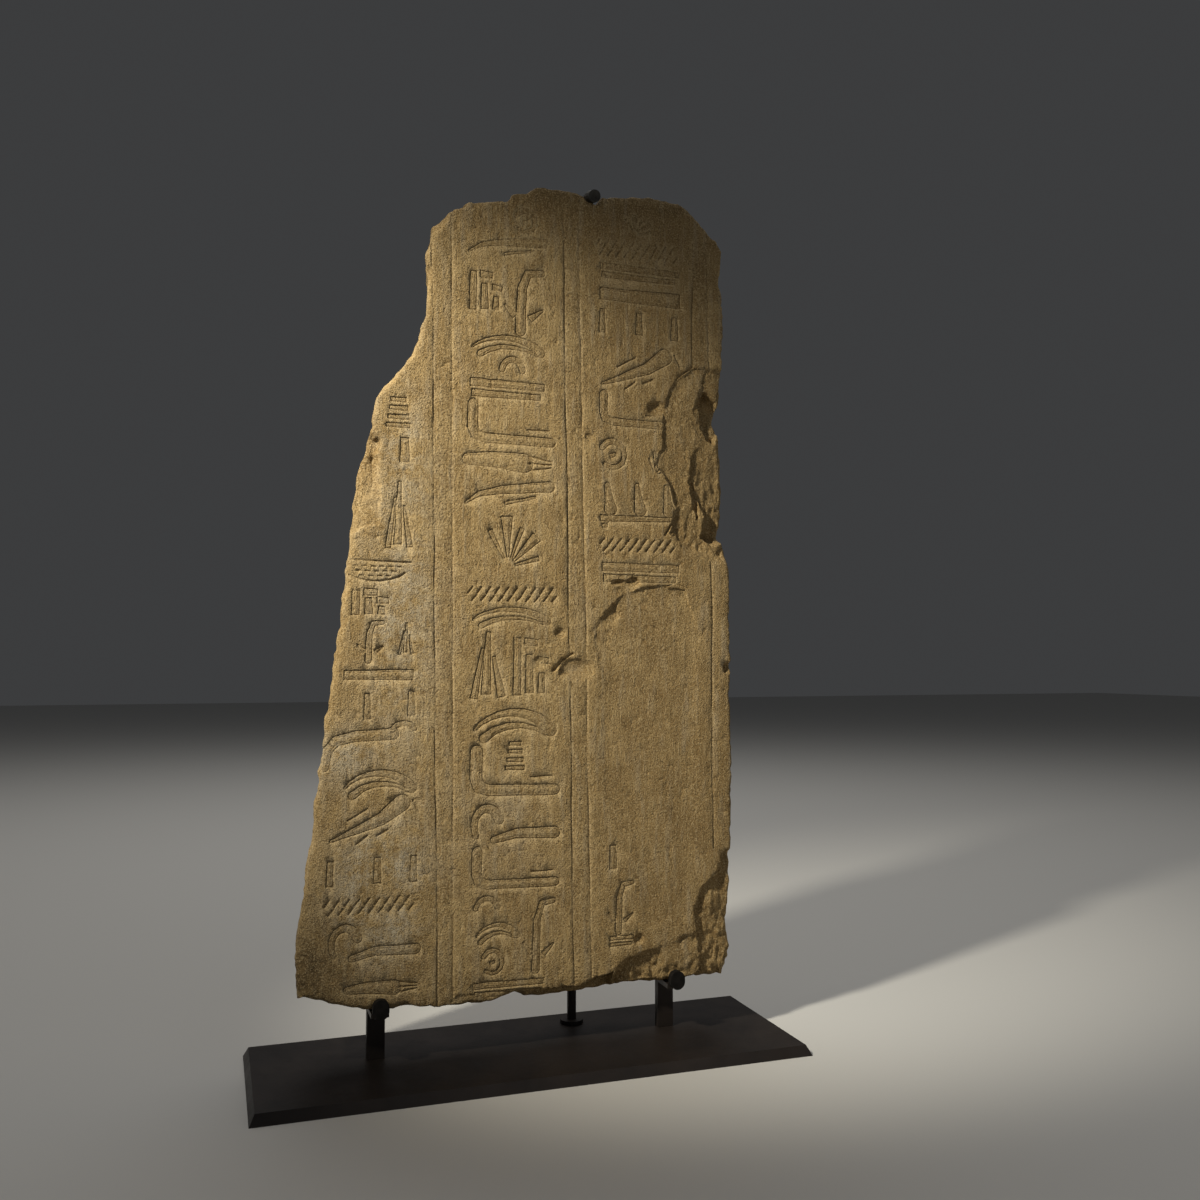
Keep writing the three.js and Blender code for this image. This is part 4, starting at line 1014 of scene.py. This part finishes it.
def limestone():
    n = Nodes("limestone")
    broad = n.span(n.noise(5, 3, 0.6), 0.36, 0.66)
    mottle = n.span(n.noise(30, 5, 0.65), 0.42, 0.64)
    grain = n.noise(560, 2, 0.6)
    speckle = n.noise(270, 4, 0.75)
    lumps = n.noise(115, 4, 0.6)
    fine_streaks = n.noise(1, 3, 0.65, vector=n.scaled((300, 300, 34)))
    wide_streaks = n.noise(1, 4, 0.65, vector=n.scaled((95, 95, 12)))
    colour = n.mix(broad, STONE_TAN, STONE_PALE)
    colour = n.mix(n.math("MULTIPLY", mottle, 0.6), colour, STONE_BROWN)
    colour = n.mix(n.math("MULTIPLY", n.attribute("brown"), 0.55), colour, STONE_BROWN)
    pale_streaks = n.math("MULTIPLY", n.span(wide_streaks, 0.52, 0.68), n.attribute("whole"))
    colour = n.mix(n.math("MULTIPLY", pale_streaks, 0.32), colour, PLASTER)
    plaster_spots = n.math("MULTIPLY", n.attribute("plaster"), n.span(n.noise(26, 6, 0.78), 0.44, 0.56))
    colour = n.mix(n.math("MULTIPLY", plaster_spots, 0.9), colour, PLASTER)
    dirt_spots = n.math("MULTIPLY", n.attribute("dirt"), n.span(n.noise(60, 5, 0.7), 0.3, 0.62))
    colour = n.mix(dirt_spots, colour, DIRT_AND_SHADE)
    # Painted shade: the strokes are darker the deeper they are cut, in the dirt colour
    colour = n.mix(n.math("MULTIPLY", n.attribute("cut"), 0.42), colour, DIRT_AND_SHADE)
    # Painted highlight: a pale rim beside each stroke
    colour = n.mix(n.math("MULTIPLY", n.attribute("arris"), 0.65), colour, LIME_AND_HIGHLIGHT)
    colour = n.mix(n.span(speckle, 0.33, 0.5, 0.75, 0.0), colour, STONE_BROWN)
    colour = n.mix(n.span(grain, 0.52, 0.65, 0.0, 0.8), colour, LIME_AND_HIGHLIGHT)
    colour = n.mix(n.span(grain, 0.32, 0.44, 0.7, 0.0), colour, DIRT_AND_SHADE)
    colour = n.mix(n.span(fine_streaks, 0.3, 0.55, 0.22, 0.0), colour, STONE_BROWN)
    lime_lines = n.math("MULTIPLY", n.span(fine_streaks, 0.58, 0.7, 0.0, 0.4), n.attribute("whole"))
    colour = n.mix(lime_lines, colour, LIME_AND_HIGHLIGHT)
    n.put(n.shader.inputs["Base Color"], colour)
    n.shader.inputs["Roughness"].default_value = 0.93
    n.shader.inputs["Specular IOR Level"].default_value = 0.2
    normal = n.bump(grain, 1.0, GRAIN_BUMP)
    normal = n.bump(speckle, 1.0, SPECKLE_BUMP, normal)
    normal = n.bump(lumps, 1.0, LUMP_BUMP, normal)
    normal = n.bump(fine_streaks, 1.0, FINE_STREAK_BUMP, normal)
    normal = n.bump(wide_streaks, 1.0, WIDE_STREAK_BUMP, normal)
    n.put(n.shader.inputs["Normal"], normal)
    return n.material


def dark_metal():
    n = Nodes("dark_metal")
    patches = n.noise(9, 4, 0.6)
    colour = n.mix(n.span(patches, 0.35, 0.7), (0.022, 0.018, 0.016, 1), (0.04, 0.031, 0.026, 1))
    n.put(n.shader.inputs["Base Color"], colour)
    n.shader.inputs["Metallic"].default_value = 0.4
    n.shader.inputs["Specular IOR Level"].default_value = 0.3
    n.put(n.shader.inputs["Roughness"], n.span(n.noise(40, 5, 0.7), 0.3, 0.7, 0.34, 0.52))
    n.put(n.shader.inputs["Normal"], n.bump(n.noise(420, 3, 0.6), 0.12, 0.0004))
    return n.material


def soft_cover(name, dark, light):
    n = Nodes(name)
    n.put(n.shader.inputs["Base Color"], n.mix(n.span(n.noise(130, 4, 0.6), 0.35, 0.65), dark, light))
    n.put(n.shader.inputs["Roughness"], n.span(n.noise(90, 3, 0.6), 0.3, 0.7, 0.6, 0.8))
    n.shader.inputs["Specular IOR Level"].default_value = 0.14
    n.put(n.shader.inputs["Normal"], n.bump(n.noise(650, 3, 0.6), 0.3, 0.0004))
    return n.material


def spread(x, z, across, up, wide, tall):
    """1 at a place on the slab, falling smoothly to 0 about wide and tall away from it."""
    return np.exp(-(((x - slab_x(across)) / wide) ** 2 + ((z - slab_z(up)) / tall) ** 2))


def stain_slab(slab):
    """Stores where the stone is plastered, brown, dirty or whole, the painted shade inside the strokes and
    the painted highlight beside a stroke.
    """
    points = np.empty(len(slab.data.vertices) * 3)
    slab.data.vertices.foreach_get("co", points)
    x, y, z = points.reshape(-1, 3).T / MM
    depth = y - SLAB_FRONT
    front = ease(50, 8, depth)
    carved = carving_at(x, z)
    # Painted shade: how deep each point lies in a stroke, which darkens its colour
    cut = carved * front * ease(4, 2.4, depth)
    # Painted highlight: a pale rim just outside every stroke, found from the carving depth beside each
    # point
    beside = np.zeros_like(x)
    for over, up in ((HIGHLIGHT_RIM_WIDE, 0), (-HIGHLIGHT_RIM_WIDE, 0), (0, HIGHLIGHT_RIM_WIDE), (0, -HIGHLIGHT_RIM_WIDE)):
        beside = np.maximum(beside, carving_at(x + over, z + up))
    broken = np.maximum(break_areas(x, z), dig_pits(x, z))
    plaster = 1.5 * spread(x, z, 18, 14, 52, 80) + 0.9 * spread(x, z, 10, 30, 34, 34)
    plaster += 0.9 * spread(x, z, 22, 45, 42, 150) + 0.7 * spread(x, z, 22, 66, 26, 70)
    plaster += 0.4 * spread(x, z, 45, 22, 70, 60) + 0.3 * spread(x, z, 61, 39.2, 17, 11)
    brown = 0.9 * ease(slab_z(88), slab_z(97), z) + 0.7 * spread(x, z, 14, 68, 34, 50)
    brown += 0.7 * spread(x, z, 14, 42, 36, 46)
    brown += 0.5 * ease(slab_x(60), slab_x(72), x) + 0.3 * ease(1.5, 5, broken)
    dirt = spread(x, z, 3, 6, 45, 60) + 0.5 * ease(slab_z(3), slab_z(0), z)
    dirt += 0.35 * ease(slab_z(95), slab_z(99), z)
    whole = front * ease(4, 1.5, broken)
    arris = np.clip((beside - carved) / STROKE_DEPTH, 0, 1) * whole
    stains = {"plaster": plaster, "brown": brown, "dirt": dirt, "cut": cut / STROKE_DEPTH, "whole": whole,
              "arris": arris}
    for name, values in stains.items():
        layer = slab.data.attributes.new(name, "FLOAT", "POINT")
        layer.data.foreach_set("value", np.clip(values, 0, 1))


def dress(node, material):
    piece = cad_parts[node]
    piece.data.materials.clear()
    piece.data.materials.append(material)


def soften(node, wide, segments=2):
    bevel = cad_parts[node].modifiers.new("soft_edges", "BEVEL")
    bevel.width = wide * MM
    bevel.segments = segments
    bevel.limit_method = "ANGLE"
    bevel.angle_limit = math.radians(30)


def dress_stand():
    metal = dark_metal()
    rubber = soft_cover("dark_cover", (0.006, 0.0055, 0.005, 1), (0.014, 0.012, 0.011, 1))
    grey = soft_cover("grey_cover", (0.03, 0.028, 0.025, 1), (0.075, 0.07, 0.062, 1))
    for node in ("base_plate", "left_hook_post", "right_hook_post", "back_upright"):
        dress(node, metal)
    for node in ("left_hook_sleeve", "right_hook_sleeve"):
        dress(node, rubber)
    dress("top_clip_sleeve", grey)
    soften("base_plate", 0.8)
    for side in ("left", "right"):
        soften(f"{side}_hook_post", 0.8)
        soften(f"{side}_hook_sleeve", 1.6, 3)


# Stage, light and camera

def plain(name, colour, roughness):
    n = Nodes(name)
    n.shader.inputs["Base Color"].default_value = colour
    n.shader.inputs["Roughness"].default_value = roughness
    return n.material


def make_floor():
    mesh = bpy.data.meshes.new("floor")
    corners = [(over * FLOOR_REACH, away * FLOOR_REACH, 0)
               for over, away in ((-1, -1), (1, -1), (1, 1), (-1, 1))]
    mesh.from_pydata(corners, [], [(0, 1, 2, 3)])
    floor = bpy.data.objects.new("floor", mesh)
    floor.data.materials.append(plain("pale_floor", (0.64, 0.63, 0.6, 1), 0.8))
    bpy.context.scene.collection.objects.link(floor)


def place_light(name, data, at, aim, power, colour):
    data.energy = power
    data.color = colour
    light = bpy.data.objects.new(name, data)
    light.location = at
    light.rotation_euler = (Vector(aim) - Vector(at)).to_track_quat("-Z", "Y").to_euler()
    bpy.context.scene.collection.objects.link(light)


def area_light(name, at, aim, size, power, colour):
    data = bpy.data.lights.new(name, "AREA")
    data.shape = "DISK"
    data.size = size
    place_light(name, data, at, aim, power, colour)


def spot_light(name, at, aim, spread_angle, size, power, colour):
    data = bpy.data.lights.new(name, "SPOT")
    data.spot_size = spread_angle
    data.spot_blend = 1
    data.shadow_soft_size = size
    place_light(name, data, at, aim, power, colour)


def make_light():
    """A raking lamp from the upper left that fades towards the ends, a soft fill and an overhead light."""
    world = bpy.data.worlds.new("studio")
    world.use_nodes = True
    world.node_tree.nodes["Background"].inputs["Color"].default_value = (0.9, 0.92, 0.95, 1)
    world.node_tree.nodes["Background"].inputs["Strength"].default_value = 0.05
    bpy.context.scene.world = world
    bpy.context.scene.view_settings.view_transform = "Standard"
    spot_light("key", KEY_AT, KEY_AIM, KEY_SPREAD, KEY_SIZE, KEY_POWER, (1, 0.94, 0.8))
    area_light("fill", (1.2, -2.6, 1.6), (0, 0, 0.5), 2.2, 5, (0.95, 0.97, 1))
    area_light("overhead", (0.3, 1.5, 3.2), (0.2, 1.0, 0), 4, 48, (1, 0.98, 0.95))


def make_camera():
    data = bpy.data.cameras.new("camera")
    data.sensor_width = SENSOR_WIDE
    data.lens = SENSOR_WIDE * FOCAL_PIXELS / PHOTO_PIXELS
    camera = bpy.data.objects.new("camera", data)
    pitch = math.atan((HORIZON_PIXEL - PHOTO_PIXELS / 2) / FOCAL_PIXELS)
    camera.location = CAMERA_AT
    camera.rotation_euler = (math.radians(90) + pitch, 0, -CAMERA_TURN)
    bpy.context.scene.collection.objects.link(camera)
    bpy.context.scene.camera = camera


make_camera()
make_light()
make_floor()
slab = build_slab()
stain_slab(slab)
slab.data.materials.append(limestone())
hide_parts("relief_slab")
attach(slab, "root")
dress_stand()
